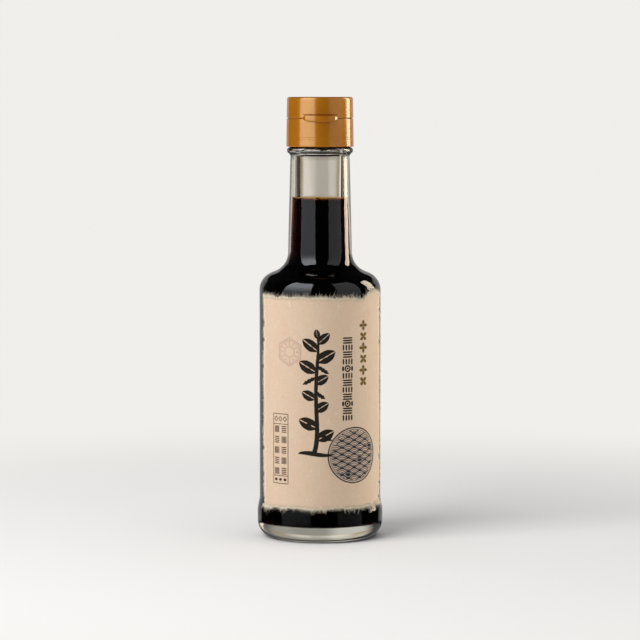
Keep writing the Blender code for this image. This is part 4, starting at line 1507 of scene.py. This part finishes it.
@dataclass
class Studio:
    """Floor, lights, surroundings and camera, none of which is part of the object."""

    backdrop: Triple = (0.871, 0.863, 0.831)
    camera_place: Triple = (0.0, -1200.0, 189.0)
    camera_tilt: float = 4.56
    focal_pixels: float = 2798.0
    frame_pixels: int = 640
    sensor: float = 36.0
    floor_half: float = 30000.0
    floor_top: float = -0.02
    boxes: tuple[SoftBox, ...] = (
        SoftBox(-74.0, -17.0, -10.0, 57.0, (0.96, 0.99, 1.04), 0.95, 3.9),
        SoftBox(32.0, 84.0, -10.0, 57.0, (0.98, 0.99, 1.02), 0.58, 0.70),
        SoftBox(138.0, 222.0, -10.0, 20.0, (1.0, 0.98, 0.99), 0.46, 0.46, 1.2),
    )
    panel_away: float = 1500.0
    panel_foot: float = 10.0
    strip_azimuth: float = 115.0
    strip_size: Pair = (583.0, 1290.0)
    lamp_away: float = 1300.0
    lamp_target: Triple = (0.0, 0.0, 70.0)
    ambient: float = 0.20

    def floor(self) -> Piece:
        """Wide floor just under the bottle, which neither mirrors nor shows in the glass."""
        half = self.floor_half
        corners = ((-half, -half), (half, -half), (half, half), (-half, half))
        points = np.array([[x, y, self.floor_top] for x, y in corners])
        ground = make_object("floor", Surface(points, [np.array([[0, 1, 2, 3]])]), PaleFloor("pale floor"))
        ground.visible_glossy = ground.visible_transmission = False
        return ground

    @staticmethod
    def only(name: str, items: list[Piece], state: str) -> bpy.types.Collection:
        """Group for a lamp that lights nothing but some objects, or everything but them."""
        group = bpy.data.collections.new(name)
        for number, item in enumerate(items):
            group.objects.link(item)
            group.collection_objects[number].light_linking.link_state = state
        return group

    @staticmethod
    def area_light(name: str, around: float, up: float, place: Array, size: Pair, power: float,
                   colour: Triple, lit: bpy.types.Collection, unseen: str) -> None:
        """Soft rectangle of light that looks back at the bottle and that camera and glass don't see.

        Args:
            name: its name.
            around: azimuth in radians, 0 in front and positive to the right.
            up: elevation in radians.
            place: where it stands, in millimetres.
            size: width and height in millimetres.
            power: power in watts.
            colour: colour of the light.
            lit: what it lights.
            unseen: kind of ray that doesn't see it either.
        """
        light = bpy.data.lights.new(name, "AREA")
        light.shape = "RECTANGLE"
        light.size, light.size_y = size[0] * MM, size[1] * MM
        light.energy, light.color = power, colour
        made = link(name, light)
        made.location = tuple(place * MM)
        made.rotation_euler = (math.pi / 2.0 - up, 0.0, around)
        made.visible_camera = made.visible_transmission = False
        setattr(made, unseen, False)
        made.light_linking.receiver_collection = lit

    def panels(self, cap: list[Piece]) -> None:
        """Lights that only mirrors show: a strip for the glass, one for the cap and a glow on its left."""
        cap_only = self.only("cap alone", cap, "INCLUDE")
        no_cap = self.only("no cap", [bpy.data.objects["floor"], *cap], "EXCLUDE")
        for name, azimuth, size, colour, radiance, lit in (
                ("strip light", self.strip_azimuth, self.strip_size, (1.06, 0.89, 0.68), 7.6, no_cap),
                ("cap strip light", self.strip_azimuth, self.strip_size, (1.0, 1.16, 0.92), 4.9, cap_only),
                ("cap glow", -45.0, (1550.0, 1700.0), (1.03, 1.20, 0.90), 2.1, cap_only)):
            around = math.radians(azimuth)
            place = np.array([math.sin(around) * self.panel_away, -math.cos(around) * self.panel_away,
                              self.panel_foot + size[1] / 2.0])
            power = radiance * math.pi * size[0] * size[1] * MM * MM
            self.area_light(name, around, 0.0, place, size, power, colour, lit, "visible_diffuse")

    def lamps(self, ground: Piece) -> None:
        """Lights aimed at the label that no mirror shows: two for the bottle and two for the floor."""
        bottle = self.only("bottle light", [ground], "EXCLUDE")
        floor = self.only("floor light", [ground], "INCLUDE")
        away = self.lamp_away
        for name, azimuth, elevation, reach, size, power, colour, lit in (
                ("key light", -60.0, 25.0, away, (900.0, 900.0), 11.0, (1.0, 0.985, 1.02), bottle),
                ("side light", 104.0, 20.0, away, (800.0, 900.0), 11.2, (1.0, 0.965, 0.91), bottle),
                ("shadow light", -47.0, 36.0, away, (1000.0, 900.0), 17.5, WHITE, floor),
                ("dome light", 0.0, 90.0, 1800.0, (3000.0, 3000.0), 28.0, (1.0, 0.995, 0.985), floor)):
            around, up = math.radians(azimuth), math.radians(elevation)
            way = np.array([math.sin(around) * math.cos(up), -math.cos(around) * math.cos(up), math.sin(up)])
            place = np.array(self.lamp_target) + way * reach
            self.area_light(name, around, up, place, size, power, colour, lit, "visible_glossy")

    def surroundings(self) -> None:
        """World whose light depends on direction: pale for the camera, patches of light for gloss."""
        world = bpy.data.worlds.new("studio")
        bpy.context.scene.world = world
        world.use_nodes = True
        world.cycles.sampling_method = "NONE"
        WorldWork(world).finish(self.backdrop, self.boxes, self.ambient)

    def camera(self) -> None:
        """Camera in front, a little above the bottle, tilted down."""
        data = bpy.data.cameras.new("camera")
        data.sensor_width = self.sensor
        data.lens = self.focal_pixels / self.frame_pixels * self.sensor
        data.clip_start, data.clip_end = 0.05, 50.0
        made = link("camera", data)
        made.location = tuple(c * MM for c in self.camera_place)
        made.rotation_euler = (math.radians(90.0 - self.camera_tilt), 0.0, 0.0)
        bpy.context.scene.camera = made

    def build(self) -> None:
        """Sets the studio up."""
        scene = bpy.context.scene
        scene.view_settings.view_transform, scene.view_settings.look = "Standard", "None"
        scene.cycles.use_denoising = True
        scene.cycles.caustics_refractive = scene.cycles.caustics_reflective = False
        scene.cycles.max_bounces, scene.cycles.transmission_bounces = 24, 20
        ground = self.floor()
        self.surroundings()
        self.lamps(ground)
        self.camera()


class WorldWork(NodeWork):
    """Node layout of the surroundings, in azimuth and elevation."""

    def __init__(self, world: bpy.types.World) -> None:
        """Finds azimuth and elevation of the direction looked in."""
        self.tree = world.node_tree
        self.tree.nodes.clear()
        looked = self.node("TexCoord").outputs["Generated"]
        x, y, z = self.fill(self.node("SeparateXYZ"), Vector=looked).outputs
        self.azimuth = self.math("DEGREES", self.math("ARCTAN2", x, self.math("MULTIPLY", y, -1.0)))
        self.elevation = self.math("DEGREES", self.math("ARCSINE", z))

    def window(self, value: Socket, low: float, high: float, blur: float) -> Socket:
        """1 between two values and 0 outside, with eased edges."""
        return self.math("MULTIPLY", self.span(value, low - blur, low + blur),
                         self.span(value, high - blur, high + blur, 1.0, 0.0))

    def patches(self, boxes: tuple[SoftBox, ...], dark: float) -> Socket:
        """Sum of the soft boxes over a dark room, with a pale table below."""
        total: object = (dark, dark, dark)
        for box in boxes:
            azimuth = self.math("WRAP", self.azimuth, 360.0, 0.0) if box.right > 180.0 else self.azimuth
            mask = self.math("MULTIPLY", self.window(azimuth, box.left, box.right, box.blur),
                             self.window(self.elevation, box.low, box.high, box.blur))
            strength = self.span(self.elevation, 0.0, 45.0, box.radiance_low, box.radiance_high)
            glow = self.mix(self.math("MULTIPLY", mask, strength), BLACK, box.colour)
            glow.node.clamp_factor = False
            total = self.mix(1.0, total, glow, "ADD")
        bright = self.span(self.window(self.azimuth, -150.0, -55.0, 6.0), 0.0, 1.0, 0.25, 1.0)
        table = self.math("MULTIPLY", self.span(self.elevation, -16.0, -11.0, 1.0, 0.0), bright)
        return self.mix(table, total, (0.86, 0.85, 0.84))

    def through(self, pale: Triple) -> Socket:
        """What shows through clear glass: the pale backdrop behind, darker to the sides."""
        across = self.math("ABSOLUTE", self.azimuth)
        rear_left = self.window(self.azimuth, -178.0, -90.0, 4.0)
        bright = self.mix(rear_left, dimmed(pale, 0.79), dimmed(pale, 0.92))
        rear = self.mix(self.span(across, 148.0, 166.0), (0.33, 0.26, 0.155), bright)
        rear = self.mix(self.span(across, 170.0, 177.0, 0.0, 0.28), rear, (0.10, 0.09, 0.08))
        foot = self.mix(self.window(self.azimuth, -172.0, -90.0, 6.0), (0.30, 0.29, 0.255),
                        (0.57, 0.56, 0.51))
        rear = self.mix(self.span(self.elevation, -5.0, 4.0), rear, foot)
        side = self.patches((SoftBox(104.0, 121.0, -16.0, 38.0, (1.04, 0.97, 0.84), 0.9, 0.9, 2.0),), 0.03)
        level = self.span(self.elevation, 42.0, 70.0, 1.0, 0.03)
        return self.mix(level, BLACK, self.mix(self.span(across, 126.0, 148.0), side, rear))

    def finish(self, pale: Triple, boxes: tuple[SoftBox, ...], ambient: float) -> None:
        """Gives each kind of ray its own surroundings.

        A ray that leaves the glass by refraction counts as both glossy and transmitted, so the
        transmitted kind comes after the glossy one.
        """
        path = self.node("LightPath")
        colour: object = (ambient, ambient, ambient)
        for kind, seen in (("Glossy", self.patches(boxes, 0.012)), ("Transmission", self.through(pale)),
                           ("Camera", pale)):
            colour = self.mix(path.outputs[f"Is {kind} Ray"], colour, seen)
        light = self.fill(self.node("Background"), Color=colour)
        self.fill(self.node("OutputWorld"), Surface=light.outputs[0])


def main() -> None:
    """Builds every sub-assembly in order and reports each piece."""
    logging.basicConfig(level=logging.INFO, format="%(message)s")
    log = logging.getLogger("soy sauce bottle")
    studio = Studio()
    studio.build()
    label, glass = PaperLabel(), GlassBottle()
    cap = [CapBase().build(), CapLid().build(), LivingHinge().build()]
    pieces = [glass.build(), *SauceFill(glass).build(), *label.build(), *LabelPrint(label).build(), *cap,
              TearRing().build()]
    studio.panels(cap)
    for piece in pieces:
        log.info("%s: %d faces", piece.name, len(piece.data.polygons))


if __name__ == "__main__":
    main()
